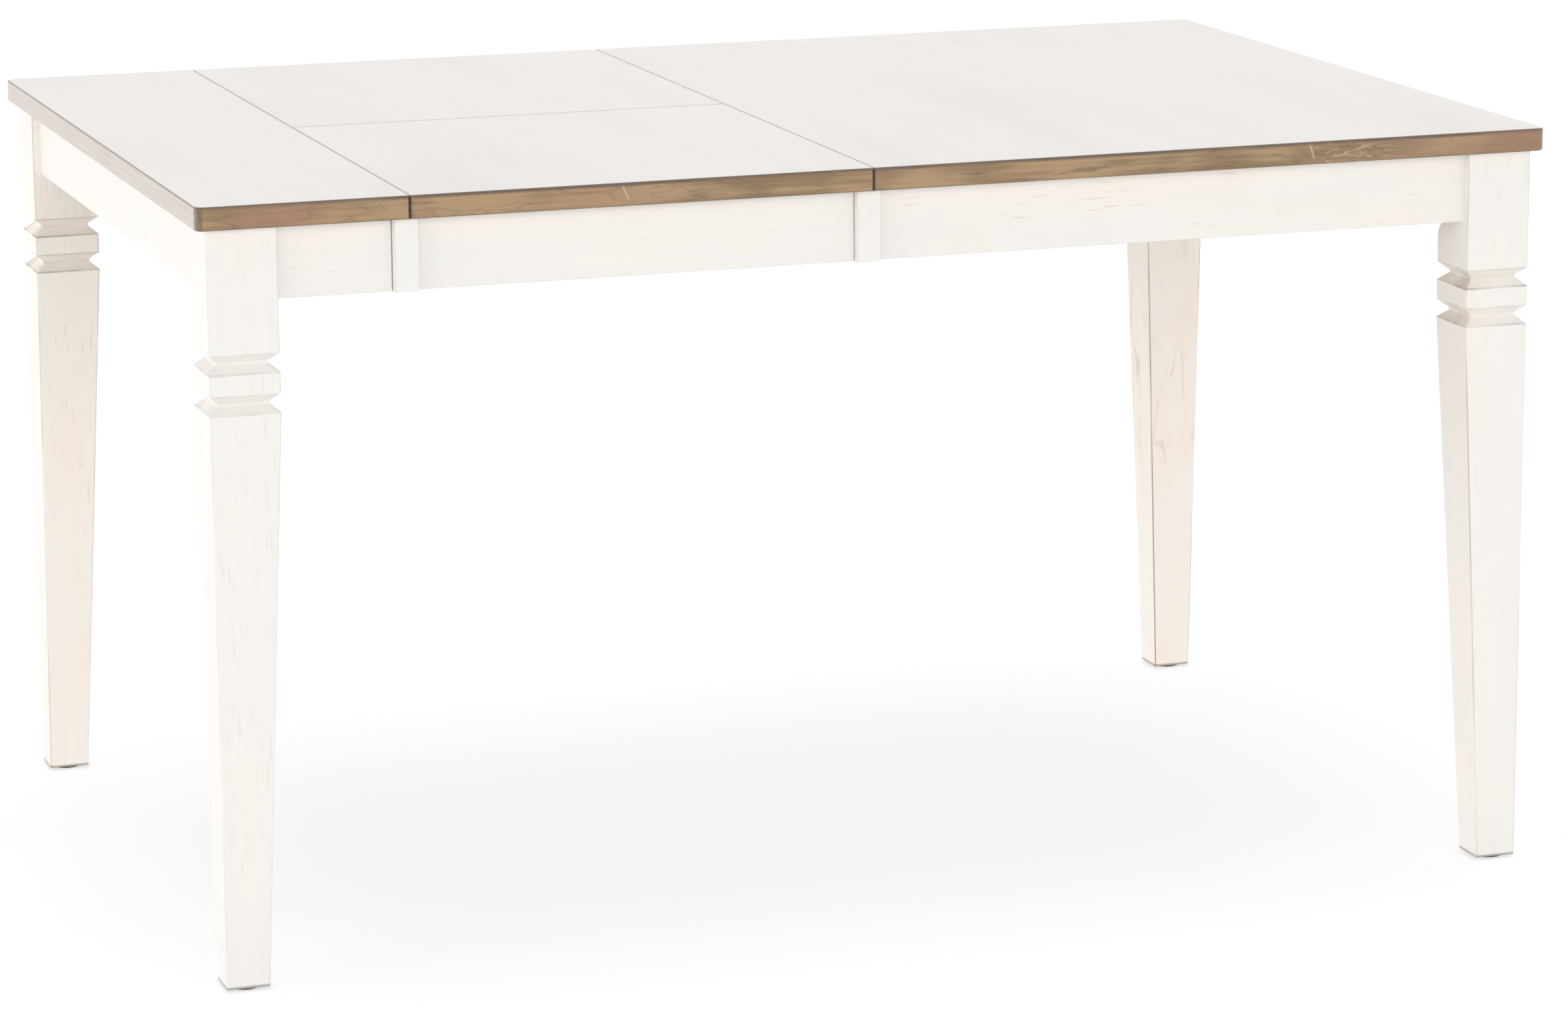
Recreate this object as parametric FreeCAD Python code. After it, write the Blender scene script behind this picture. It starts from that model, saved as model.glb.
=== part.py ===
import FreeCAD, Part
import math
import os

# Butterfly leaf dining table, opened with its leaf in place.
# Millimetres, +Z up. The origin is on the floor under the middle of the opened top.
# X runs along the table, Y across it, and the front is at -Y.
# Rear pieces are modelled at +Y and mirrored to the front.

Vector = FreeCAD.Vector
ORIGIN = Vector(0, 0, 0)
ALONG_X = Vector(1, 0, 0)
ALONG_Y = Vector(0, 1, 0)
UPWARDS = Vector(0, 0, 1)

# Top
end_length = 203.2
leaf_length = 457.2
main_length = 711.2
top_width = 914.4
table_height = 755.65
top_thickness = 23.0
top_corner_radius = 9.0
top_edge_radius = 2.5
seam_gap = 0.6
seam_chamfer = 0.8

# Clearances
fit = 0.3
running_fit = 0.05
apron_drop = 0.5
overrun = 1.0
match = 0.01

# Legs
leg_inset = 11.0
leg_side = 68.0
leg_block_height = 119.0
leg_groove_height = 18.5
leg_groove_depth = 9.5
leg_groove_flat = 2.0
leg_band_height = 20.0
leg_foot_side = 42.0
leg_arris = 2.0
leg_corner_cut = 18.0
leg_seat_run = 23.0
glide_radius = 16.5
glide_height = 3.0

# Aprons and stiles
apron_height = 70.0
apron_thickness = 20.0
apron_setback = 8.5
apron_arris = 1.5
stile_width = 24.0
stile_reach = 13.0
stile_gap = 0.8

# Corner blocks, hanger bolts and flange nuts
corner_block_thickness = 22.0
corner_block_height = 33.0
corner_block_lift = 3.0
bolt_radius = 4.0
bolt_in_leg = 36.0
bolt_tail = 14.0
bolt_slack = 0.5
nut_flats = 13.0
nut_height = 7.0
nut_flange_radius = 9.5
nut_flange_height = 1.8

# Runners and guide rails
runner_width = 50.0
runner_height = 31.0
runner_leg_gap = 32.0
runner_overlap = 205.0
guide_thickness = 25.0
guide_start = 6.0
guide_end_gap = 6.0
tongue_depth = 9.0
tongue_root = 8.0
tongue_tip = 14.0
cross_rail_thickness = 20.0

# Leaf storage battens and leaf ledges
batten_thickness = 16.0
batten_width = 60.0
batten_shares = (0.06, 0.38, 0.70)
ledge_thickness = 14.0
ledge_grip = 30.0
ledge_reach = 18.0
ledge_nose = 5.0
ledge_width = 80.0
end_ledge_offset = 95.0

# Leaf hinge barrels
barrel_radius = 6.0
barrel_length = 22.0
barrel_slot_width = 3.0
barrel_slot_depth = 8.0
barrel_shares = (0.15, 0.5, 0.85)

# Leaf apron hinges
hinge_room = 2.5
hinge_standoff = 29.0
hinge_plate = 3.0
hinge_width = 40.0
hinge_bracket_height = 24.0
hinge_lug_radius = 6.0
hinge_lug_root = 16.0
hinge_base_lug = 6.0
hinge_bracket_lug = 4.0
hinge_pin_radius = 2.5
hinge_pin_proud = 1.0
hinge_shares = (0.2, 0.8)

# Turn buttons
button_gap = 71.0
button_setback = 50.0
button_reach = 32.0
button_tail = 14.0
button_width = 22.0
button_thickness = 9.0
button_ease = 2.0

# Wood screws and top clips
screw_radius = 2.0
screw_head_radius = 4.2
screw_head_height = 2.6
screw_tip = 3.0
screw_bite = 14.0
screw_recess = 12.0
screw_recess_radius = 5.5
guide_screw_recess = 30.0
guide_screw_shares = (0.2, 0.55, 0.9)
runner_screw_shares = (0.25, 0.75)
batten_screw_recess = 4.0
batten_screw_bite = 18.0
clip_metal = 2.0
clip_width = 18.0
clip_tab = 7.0
clip_drop = 12.0
clip_stand = 4.0
clip_arm = 18.0
clip_slot_room = 0.4
main_side_clip_shares = (0.68, 0.9)
end_side_clip_shares = (0.5,)
end_clip_offset = 150.0

# Planes worked out from the sizes above
top_length = end_length + leaf_length + main_length
top_end = top_length / 2
top_side = top_width / 2
end_seam = end_length - top_end
main_seam = end_seam + leaf_length
top_under = table_height - top_thickness

leg_outer_x = top_end - leg_inset
leg_outer_y = top_side - leg_inset
leg_inner_x = leg_outer_x - leg_side
leg_inner_y = leg_outer_y - leg_side

apron_bottom = top_under - apron_height
side_apron_outer = leg_outer_y - apron_setback
side_apron_inner = side_apron_outer - apron_thickness
end_apron_outer = leg_outer_x - apron_setback
end_apron_inner = end_apron_outer - apron_thickness
main_stile_left = main_seam - stile_reach
main_apron_left = main_stile_left + stile_width
leaf_stile_left = end_seam - stile_reach
leaf_apron_left = leaf_stile_left + stile_width
leaf_apron_right = main_stile_left - stile_gap
leaf_apron_top = top_under - apron_drop
end_apron_right = leaf_stile_left - stile_gap

hinge_offset = (runner_height + hinge_room) / 2
hinge_y = side_apron_inner - hinge_offset
hinge_z = top_under - hinge_offset

runner_outer = hinge_y - hinge_standoff
runner_inner = runner_outer - runner_width
runner_middle = (runner_outer + runner_inner) / 2
runner_top = top_under - fit
runner_bottom = runner_top - runner_height
runner_left = runner_leg_gap - leg_inner_x
runner_right = main_seam + runner_overlap
guide_outer = runner_inner - fit
guide_inner = guide_outer - guide_thickness
guide_middle = (guide_outer + guide_inner) / 2
guide_bottom = apron_bottom + batten_thickness
guide_left = main_seam + guide_start
guide_right = end_apron_inner - guide_end_gap
tongue_z = runner_bottom + runner_height / 2

button_pivot_x = end_seam - button_setback
button_offset = runner_inner - button_gap - button_width / 2
button_top = top_under - apron_drop
button_bottom = button_top - button_thickness


def along(share, start, end):
    """Place at a share of the way from start to end."""
    return start + share * (end - start)


def filled(points):
    """Flat face inside a closed outline of points."""
    return Part.Face(Part.makePolygon(points + [points[0]]))


def extruded_up(plan, low, high):
    """Upright prism over an outline of (x, y) points."""
    face = filled([Vector(x, y, low) for x, y in plan])
    return face.extrude(Vector(0, 0, high - low))


def extruded_along_x(outline, start, end):
    """Prism along X over an outline of (y, z) points."""
    face = filled([Vector(start, y, z) for y, z in outline])
    return face.extrude(Vector(end - start, 0, 0))


def extruded_along_y(outline, start, end):
    """Prism along Y over an outline of (x, z) points."""
    face = filled([Vector(x, start, z) for x, z in outline])
    return face.extrude(Vector(0, end - start, 0))


def board(low, high):
    """Sawn board between its lowest and highest corners."""
    size = Vector(*high) - Vector(*low)
    return Part.makeBox(size.x, size.y, size.z, Vector(*low))


def to_front(shape):
    """The front twin of a rear piece."""
    return shape.mirror(ORIGIN, ALONG_Y)


def to_end(shape):
    """The end section's twin of a main section piece."""
    return shape.mirror(ORIGIN, ALONG_X)


def placed(shape, x, y, z, turn=0):
    """Copy of a shape, turned about +Z by degrees and then moved."""
    copy = shape.copy()
    copy.rotate(ORIGIN, UPWARDS, turn)
    copy.translate(Vector(x, y, z))
    return copy


def eased_below(shape, radius):
    """A board with its long lower edges rounded."""
    floor = shape.BoundBox.ZMin
    lower = [edge for edge in shape.Edges if edge.BoundBox.ZMax < floor + match]
    longest = max(edge.Length for edge in lower)
    return shape.makeFillet(radius, [edge for edge in lower if edge.Length > longest - match])


def on_outside(box):
    """Whether an edge's box lies flat on an outer side of the whole top."""
    at_ends = box.XMax < match - top_end or box.XMin > top_end - match
    at_sides = box.YMax < match - top_side or box.YMin > top_side - match
    return at_ends or at_sides


def at_outer_corner(box):
    """Whether an upright edge stands on a corner of the whole top."""
    at_end = box.XMax < match - top_end or box.XMin > top_end - match
    at_side = box.YMax < match - top_side or box.YMin > top_side - match
    return at_end and at_side


def at_seam(box):
    """Whether an edge runs along a seam's upper side, or up its outer end."""
    upper = box.ZMin > table_height - match and not on_outside(box)
    upright = box.ZLength > match and on_outside(box) and not at_outer_corner(box)
    return upper or upright


def top_board(left, right, front, rear):
    """One board of the top: eased at its seams, rounded where it shows outside."""
    slab = board((left, front, top_under), (right, rear, table_height))
    seams = [edge for edge in slab.Edges if at_seam(edge.BoundBox)]
    slab = slab.makeChamfer(seam_chamfer, seams)
    corners = [edge for edge in slab.Edges if at_outer_corner(edge.BoundBox)]
    if corners:
        slab = slab.makeFillet(top_corner_radius, corners)
    rim = [edge for edge in slab.Edges if edge.BoundBox.ZLength < match
           and (on_outside(edge.BoundBox) or isinstance(edge.Curve, Part.Circle))]
    return slab.makeFillet(top_edge_radius, rim)


def screw(length):
    """Pan-head wood screw that points up, with the underside of its head at zero."""
    outline = [Vector(0, 0, -screw_head_height),
               Vector(screw_head_radius / 2, 0, -screw_head_height),
               Vector(screw_head_radius, 0, -screw_head_height / 2),
               Vector(screw_head_radius, 0, 0),
               Vector(screw_radius, 0, 0),
               Vector(screw_radius, 0, length - screw_tip),
               Vector(0, 0, length)]
    return filled(outline).revolve(ORIGIN, UPWARDS, 360)


def screw_bore(length):
    """Hole that takes a screw's shank."""
    return Part.makeCylinder(screw_radius + running_fit, length + running_fit + overrun, Vector(0, 0, -overrun))


def recess(depth):
    """Round recess for a screw's head, bored up from a lower face at zero."""
    return Part.makeCylinder(screw_recess_radius, depth + overrun, Vector(0, 0, -overrun))


def bored(shape, tools):
    """A piece with every tool in a list cut from it."""
    for tool in tools:
        shape = shape.cut(tool)
    return shape


def leg_section(z, depth, side):
    """Square section of a leg with eased arrises, at a depth behind the leg's outer faces."""
    right = leg_outer_x - depth
    rear = leg_outer_y - depth
    left = right - side
    front = rear - side
    ease = leg_arris
    bulge = ease * (1 - math.sqrt(0.5))
    corners = [((right - ease, front), (right - bulge, front + bulge), (right, front + ease)),
               ((right, rear - ease), (right - bulge, rear - bulge), (right - ease, rear)),
               ((left + ease, rear), (left + bulge, rear - bulge), (left, rear - ease)),
               ((left, front + ease), (left + bulge, front + bulge), (left + ease, front))]
    edges = []
    for number, (start, middle, end) in enumerate(corners):
        edges.append(Part.Arc(Vector(*start, z), Vector(*middle, z), Vector(*end, z)).toShape())
        following = corners[(number + 1) % len(corners)][0]
        edges.append(Part.makeLine(Vector(*end, z), Vector(*following, z)))
    return Part.Wire(edges)


def leg_groove(top):
    """Sections of one groove round a leg, from its lower lip to its upper lip."""
    slope = (leg_groove_height - leg_groove_flat) / 2
    waist = leg_side - 2 * leg_groove_depth
    return [leg_section(top - leg_groove_height, 0, leg_side),
            leg_section(top - leg_groove_height + slope, leg_groove_depth, waist),
            leg_section(top - slope, leg_groove_depth, waist),
            leg_section(top, 0, leg_side)]


def bolt_placed(shape):
    """A part made along +Z, laid on the hanger bolt's line with zero on the leg's cut corner."""
    middle = leg_corner_cut / 2
    height = apron_bottom + corner_block_lift + corner_block_height / 2
    copy = shape.copy()
    copy.rotate(ORIGIN, ALONG_Y, -90)
    copy.rotate(ORIGIN, UPWARDS, 45)
    copy.translate(Vector(leg_inner_x + middle, leg_inner_y + middle, height))
    return copy


def leg_seat():
    """Cut on the leg's inner corner that the corner block bears on; it slopes out under the block."""
    high = top_under + overrun - (apron_bottom + corner_block_lift + corner_block_height / 2)
    low = -corner_block_height / 2
    depth = leg_corner_cut / math.sqrt(2)
    past = depth + overrun
    out = low - leg_seat_run * past / depth
    seat = [(high, 0), (low, 0), (out, past), (high, past)]
    face = filled([Vector(length, -past, rise) for length, rise in seat])
    return bolt_placed(face.extrude(Vector(0, 2 * past, 0)))


def leg():
    """Main rear leg: square block, two grooves round a band, and a shaft tapered on its inner faces."""
    block_low = top_under - leg_block_height
    band_top = block_low - leg_groove_height
    shaft_groove_top = band_top - leg_band_height
    sections = [leg_section(glide_height, 0, leg_foot_side)]
    sections += leg_groove(shaft_groove_top)
    sections += leg_groove(block_low)
    sections.append(leg_section(top_under, 0, leg_side))
    turned = Part.makeLoft(sections, True, True)
    hole = Part.makeCylinder(bolt_radius + running_fit, bolt_in_leg + running_fit + overrun,
                             Vector(0, 0, -bolt_in_leg - running_fit))
    return bored(turned, [leg_seat(), bolt_placed(hole)])


def glide():
    """Round glide under the middle of the main rear foot."""
    middle = leg_foot_side / 2
    disc = Part.makeCylinder(glide_radius, glide_height, Vector(leg_outer_x - middle, leg_outer_y - middle, 0))
    lower = [edge for edge in disc.Edges if edge.BoundBox.ZMax < match]
    return disc.makeChamfer(glide_height / 3, lower)


def corner_block():
    """Slanted block that bridges the two aprons behind the main rear leg."""
    outer = leg_inner_x + leg_inner_y + leg_corner_cut
    inner = outer - corner_block_thickness * math.sqrt(2)
    low = apron_bottom + corner_block_lift
    block = extruded_up([(outer - side_apron_inner, side_apron_inner), (inner - side_apron_inner, side_apron_inner),
                         (end_apron_inner, inner - end_apron_inner), (end_apron_inner, outer - end_apron_inner)],
                        low, low + corner_block_height)
    hole = Part.makeCylinder(bolt_radius + bolt_slack, corner_block_thickness + 2 * overrun, Vector(0, 0, -overrun))
    return block.cut(bolt_placed(hole))


def hanger_bolt():
    """Hanger bolt from the main rear leg through its corner block."""
    length = bolt_in_leg + corner_block_thickness + bolt_tail
    shank = Part.makeCylinder(bolt_radius, length, Vector(0, 0, -bolt_in_leg))
    tips = [edge for edge in shank.Edges if isinstance(edge.Curve, Part.Circle)]
    return bolt_placed(shank.makeChamfer(bolt_radius / 4, tips))


def flange_nut():
    """Hexagon flange nut against the corner block."""
    across_corners = nut_flats / math.sqrt(3)
    hexagon = [(across_corners * math.cos(math.radians(60 * turn)), across_corners * math.sin(math.radians(60 * turn)))
               for turn in range(6)]
    body = extruded_up(hexagon, 0, nut_height)
    body = body.fuse(Part.makeCylinder(nut_flange_radius, nut_flange_height)).removeSplitter()
    thread = Part.makeCylinder(bolt_radius + running_fit, nut_height + 2 * overrun, Vector(0, 0, -overrun))
    nut = body.cut(thread)
    nut.translate(Vector(0, 0, corner_block_thickness))
    return bolt_placed(nut)


def clip():
    """Top clip: its lower tab points to -X into an apron, its arm lies under the top at zero."""
    reach = clip_stand + clip_arm
    outline = [(-clip_tab, -clip_drop - clip_metal), (clip_stand + clip_metal, -clip_drop - clip_metal),
               (clip_stand + clip_metal, -clip_metal), (reach, -clip_metal), (reach, 0), (clip_stand, 0),
               (clip_stand, -clip_drop), (-clip_tab, -clip_drop)]
    strip = extruded_along_y(outline, -clip_width / 2, clip_width / 2)
    return strip.cut(placed(screw_bore(clip_metal + overrun), clip_screw_reach, 0, -clip_metal))


def clip_slot():
    """Slot in an apron's inner face for a clip's lower tab."""
    half = clip_width / 2 + clip_slot_room
    return board((-clip_tab - clip_slot_room, -half, -clip_drop - clip_metal - clip_slot_room),
                 (overrun, half, -clip_drop + clip_slot_room))


clip_screw_reach = clip_stand + (clip_metal + clip_arm) / 2
rear_turn = -90
front_turn = 90
main_turn = 180
main_side_clips = [along(share, main_apron_left, leg_inner_x) for share in main_side_clip_shares]
end_side_clips = [along(share, -leg_inner_x, end_apron_right) for share in end_side_clip_shares]
main_clip_places = [(x, side_apron_inner, rear_turn) for x in main_side_clips]
main_clip_places += [(x, -side_apron_inner, front_turn) for x in main_side_clips]
main_clip_places += [(end_apron_inner, y, main_turn) for y in (-end_clip_offset, end_clip_offset)]
end_clip_places = [(x, side_apron_inner, rear_turn) for x in end_side_clips]
end_clip_places += [(x, -side_apron_inner, front_turn) for x in end_side_clips]
end_clip_places += [(-end_apron_inner, y, 0) for y in (-end_clip_offset, end_clip_offset)]


def at_clips(shape, places):
    """Copies of a shape at the top clips' places."""
    return [placed(shape, x, y, top_under, turn) for x, y, turn in places]


def clip_screw():
    """Screw that holds a clip's arm under a top."""
    return placed(screw(clip_metal + screw_bite), clip_screw_reach, 0, -clip_metal)


def clip_screw_bore():
    """Hole in a top for a clip's screw."""
    return placed(screw_bore(clip_metal + screw_bite), clip_screw_reach, 0, -clip_metal)


def side_apron(left, right):
    """Rear side apron between two places along the table."""
    plank = board((left, side_apron_inner, apron_bottom), (right, side_apron_outer, top_under))
    return eased_below(plank, apron_arris)


def end_apron():
    """Main end apron between the two main legs."""
    plank = board((end_apron_inner, -leg_inner_y, apron_bottom), (end_apron_outer, leg_inner_y, top_under))
    return eased_below(plank, apron_arris)


def stile(left, top):
    """Rear stile, flush with the legs' faces and eased round its outer face."""
    post = board((left, side_apron_inner, apron_bottom), (left + stile_width, leg_outer_y, top))
    outer = [edge for edge in post.Edges
             if edge.BoundBox.YMin > leg_outer_y - match and edge.BoundBox.ZMin < top - match]
    return post.makeFillet(apron_arris, outer)


def leaf_apron():
    """Rear leaf apron, which ends just before the main section's stile."""
    plank = board((leaf_apron_left, side_apron_inner, apron_bottom),
                  (leaf_apron_right, side_apron_outer, leaf_apron_top))
    return eased_below(plank, apron_arris)


def guide_rail():
    """Rear guide rail under the main top, with a dovetail tongue on its outer face."""
    root = tongue_root / 2
    tip = tongue_tip / 2
    outline = [(guide_inner, guide_bottom), (guide_outer, guide_bottom), (guide_outer, tongue_z - root),
               (guide_outer + tongue_depth, tongue_z - tip), (guide_outer + tongue_depth, tongue_z + tip),
               (guide_outer, tongue_z + root), (guide_outer, top_under), (guide_inner, top_under)]
    rail = extruded_along_x(outline, guide_left, guide_right)
    tools = [placed(recess(guide_screw_recess), x, guide_middle, guide_bottom) for x in guide_screw_places]
    tools += [placed(screw_bore(guide_screw_length), x, guide_middle, guide_screw_seat) for x in guide_screw_places]
    tools += [placed(screw_bore(batten_screw_length), x, guide_middle, batten_screw_seat) for x in batten_places]
    return bored(rail, tools)


def runner():
    """Rear runner of the end section, with a dovetail groove for the guide rail's tongue."""
    root = tongue_root / 2 + fit
    tip = tongue_tip / 2 + fit
    depth = runner_inner + tongue_depth
    outline = [(runner_inner, runner_bottom), (runner_outer, runner_bottom), (runner_outer, runner_top),
               (runner_inner, runner_top), (runner_inner, tongue_z + root), (depth, tongue_z + tip),
               (depth, tongue_z - tip), (runner_inner, tongue_z - root)]
    bar = extruded_along_x(outline, runner_left, runner_right)
    tools = [placed(recess(screw_recess), x, runner_middle, runner_bottom) for x in runner_screw_places]
    tools += [placed(screw_bore(runner_screw_length), x, runner_middle, runner_screw_seat)
              for x in runner_screw_places]
    return bored(bar, tools)


guide_screw_places = [along(share, guide_left, guide_right) for share in guide_screw_shares]
guide_screw_seat = guide_bottom + guide_screw_recess
guide_screw_length = top_under + screw_bite - guide_screw_seat
runner_screw_places = [along(share, runner_left, end_apron_right - cross_rail_thickness)
                       for share in runner_screw_shares]
runner_screw_seat = runner_bottom + screw_recess
runner_screw_length = top_under + screw_bite - runner_screw_seat
batten_places = [along(share, guide_left, guide_right) for share in batten_shares]
batten_screw_seat = apron_bottom + batten_screw_recess
batten_screw_length = guide_bottom + batten_screw_bite - batten_screw_seat


def both_sides(shape):
    """A rear piece and its front twin."""
    return [shape, to_front(shape)]


def guide_screws():
    """Screws that hold both guide rails under the main top."""
    rear = [placed(screw(guide_screw_length), x, guide_middle, guide_screw_seat) for x in guide_screw_places]
    return rear + [to_front(one) for one in rear]


def runner_screws():
    """Screws that hold both runners under the end top."""
    rear = [placed(screw(runner_screw_length), x, runner_middle, runner_screw_seat) for x in runner_screw_places]
    return rear + [to_front(one) for one in rear]


def batten_screws():
    """Screws that hold the battens under the guide rails."""
    rear = [placed(screw(batten_screw_length), x, guide_middle, batten_screw_seat) for x in batten_places]
    return rear + [to_front(one) for one in rear]


def batten(x):
    """Batten across the two guide rails, on which the folded leaf lies."""
    slat = board((x - batten_width / 2, -guide_outer, apron_bottom), (x + batten_width / 2, guide_outer, guide_bottom))
    slat = eased_below(slat, apron_arris)
    tools = []
    for y in (-guide_middle, guide_middle):
        tools.append(placed(recess(batten_screw_recess), x, y, apron_bottom))
        tools.append(placed(screw_bore(batten_screw_length), x, y, batten_screw_seat))
    return bored(slat, tools)


def cross_rail():
    """Rail that ties the end section's side aprons under the runners."""
    rail = board((end_apron_right - cross_rail_thickness, -side_apron_inner, apron_bottom),
                 (end_apron_right, side_apron_inner, runner_bottom))
    return eased_below(rail, apron_arris)


def ledge(seam, way, middle):
    """Ledge under a top's seam edge; it reaches out under the leaf, which lies on way's side."""
    low = top_under - ledge_thickness
    shelf = top_under - fit
    outline = [(seam - way * ledge_grip, low), (seam + way * (ledge_reach - ledge_nose), low),
               (seam + way * ledge_reach, low + ledge_nose), (seam + way * ledge_reach, shelf),
               (seam - way * seam_gap, shelf), (seam - way * seam_gap, top_under),
               (seam - way * ledge_grip, top_under)]
    return extruded_along_y(outline, middle - ledge_width / 2, middle + ledge_width / 2)


def barrel_placed(shape, share):
    """A part made along +Y from zero, set in the rear leaf half's middle edge."""
    copy = shape.copy()
    copy.translate(Vector(along(share, end_seam, main_seam), seam_gap / 2, table_height - top_thickness / 2))
    return copy


def barrel():
    """One barrel of a concealed leaf hinge, slotted for its link."""
    drum = Part.makeCylinder(barrel_radius, barrel_length, ORIGIN, ALONG_Y)
    slot = board((-barrel_slot_width / 2, -overrun, -barrel_radius - overrun),
                 (barrel_slot_width / 2, barrel_slot_depth, barrel_radius + overrun))
    return drum.cut(slot)


def leaf_half():
    """Rear half of the leaf, bored for its hinge barrels."""
    half = top_board(end_seam + seam_gap / 2, main_seam - seam_gap / 2, seam_gap / 2, top_side)
    bore = Part.makeCylinder(barrel_radius + running_fit, barrel_length + running_fit + overrun,
                             Vector(0, -overrun, 0), ALONG_Y)
    return bored(half, [barrel_placed(bore, share) for share in barrel_shares])


def hinge_pin_hole():
    """Hole for an apron hinge's pin, along X through zero."""
    length = hinge_width + 2 * overrun
    return Part.makeCylinder(hinge_pin_radius + running_fit, length, Vector(-length / 2, 0, 0), ALONG_X)


def hinge_lug(plate_y, start, width):
    """Lug from a hinge plate to the hinge's axis at zero, from start along X."""
    eye = Part.makeCylinder(hinge_lug_radius, width, Vector(start, 0, 0), ALONG_X)
    web = extruded_along_x([(plate_y, -hinge_lug_root / 2), (plate_y, hinge_lug_root / 2),
                            (0, hinge_lug_radius), (0, -hinge_lug_radius)], start, start + width)
    return eye.fuse(web)


def hinge_base():
    """Base of a leaf apron hinge on the runner's outer face, its axis at zero."""
    plate_y = hinge_plate - hinge_standoff
    plate = board((-hinge_width / 2, -hinge_standoff, runner_bottom + apron_drop - hinge_z),
                  (hinge_width / 2, plate_y, runner_top - apron_drop - hinge_z))
    base = plate.fuse(hinge_lug(plate_y, -hinge_base_lug / 2, hinge_base_lug)).removeSplitter()
    return base.cut(hinge_pin_hole())


def hinge_bracket():
    """Bracket of a leaf apron hinge on the apron's inner face, its axis at zero."""
    plate_y = hinge_offset - hinge_plate
    half = hinge_bracket_height / 2
    bracket = board((-hinge_width / 2, plate_y, -half), (hinge_width / 2, hinge_offset, half))
    inner = hinge_base_lug / 2 + fit
    for start in (inner, -inner - hinge_bracket_lug):
        bracket = bracket.fuse(hinge_lug(plate_y, start, hinge_bracket_lug))
    return bracket.removeSplitter().cut(hinge_pin_hole())


def hinge_pin():
    """Pin of a leaf apron hinge, along X through zero."""
    half = hinge_base_lug / 2 + fit + hinge_bracket_lug + hinge_pin_proud
    pin = Part.makeCylinder(hinge_pin_radius, 2 * half, Vector(-half, 0, 0), ALONG_X)
    tips = [edge for edge in pin.Edges if isinstance(edge.Curve, Part.Circle)]
    return pin.makeChamfer(hinge_pin_proud / 2, tips)


def at_hinges(shape):
    """Copies of a shape at the rear leaf apron's hinges."""
    return [placed(shape, along(share, leaf_apron_left, leaf_apron_right), hinge_y, hinge_z)
            for share in hinge_shares]


def turn_button():
    """Rear turn button, turned out under the leaf."""
    tip = button_setback + button_reach
    half = button_width / 2
    left = half - button_tail
    right = tip - half
    outline = [Part.makeLine(Vector(left, -half, 0), Vector(right, -half, 0)),
               Part.Arc(Vector(right, -half, 0), Vector(tip, 0, 0), Vector(right, half, 0)).toShape(),
               Part.makeLine(Vector(right, half, 0), Vector(left, half, 0)),
               Part.Arc(Vector(left, half, 0), Vector(-button_tail, 0, 0), Vector(left, -half, 0)).toShape()]
    bar = Part.Face(Part.Wire(outline)).extrude(Vector(0, 0, button_thickness))
    lower = [edge for edge in bar.Edges if edge.BoundBox.ZMax < match]
    bar = bar.makeFillet(button_ease, lower)
    return placed(bar.cut(screw_bore(button_thickness + overrun)), button_pivot_x, button_offset, button_bottom)


def button_screw():
    """Pivot screw of the rear turn button."""
    return placed(screw(button_screw_length), button_pivot_x, button_offset, button_bottom - fit)


button_screw_length = top_under + screw_bite - button_bottom + fit


def main_top():
    """Board of the main section's top, bored underneath for its screws."""
    slab = top_board(main_seam + seam_gap / 2, top_end, -top_side, top_side)
    tools = at_clips(clip_screw_bore(), main_clip_places)
    for x in guide_screw_places:
        tools += both_sides(placed(screw_bore(guide_screw_length), x, guide_middle, guide_screw_seat))
    return bored(slab, tools)


def end_top():
    """Board of the end section's top, bored underneath for its screws."""
    slab = top_board(-top_end, end_seam - seam_gap / 2, -top_side, top_side)
    tools = at_clips(clip_screw_bore(), end_clip_places)
    for x in runner_screw_places:
        tools += both_sides(placed(screw_bore(runner_screw_length), x, runner_middle, runner_screw_seat))
    tools += both_sides(placed(screw_bore(button_screw_length), button_pivot_x, button_offset, button_bottom - fit))
    return bored(slab, tools)


def export(name, shapes):
    """Write one node; identical pieces share it as separate solids."""
    node = shapes[0] if len(shapes) == 1 else Part.makeCompound(shapes)
    node.exportStep("parts/" + name + ".step")


def export_pair(name, shape):
    """Write a rear piece and its front twin as two nodes."""
    export("rear_" + name, [shape])
    export("front_" + name, [to_front(shape)])


def export_main_section():
    """Main section: top, legs, aprons, stiles, guide rails and storage battens."""
    slots = at_clips(clip_slot(), main_clip_places)
    export("main_top", [main_top()])
    export_pair("main_leg", leg())
    export_pair("main_apron", bored(side_apron(main_apron_left, leg_inner_x), slots))
    export("main_end_apron", [bored(end_apron(), slots)])
    export_pair("main_stile", stile(main_stile_left, top_under))
    export_pair("guide_rail", guide_rail())
    export("main_corner_blocks", both_sides(corner_block()))
    export("main_hanger_bolts", both_sides(hanger_bolt()))
    export("main_bolt_nuts", both_sides(flange_nut()))
    export("main_glides", both_sides(glide()))
    export("main_top_clips", at_clips(clip(), main_clip_places))
    export("main_clip_screws", at_clips(clip_screw(), main_clip_places))
    export("guide_rail_screws", guide_screws())
    export("storage_battens", [batten(x) for x in batten_places])
    export("batten_screws", batten_screws())
    export("main_leaf_ledge", [ledge(main_seam, -1, 0)])


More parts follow.
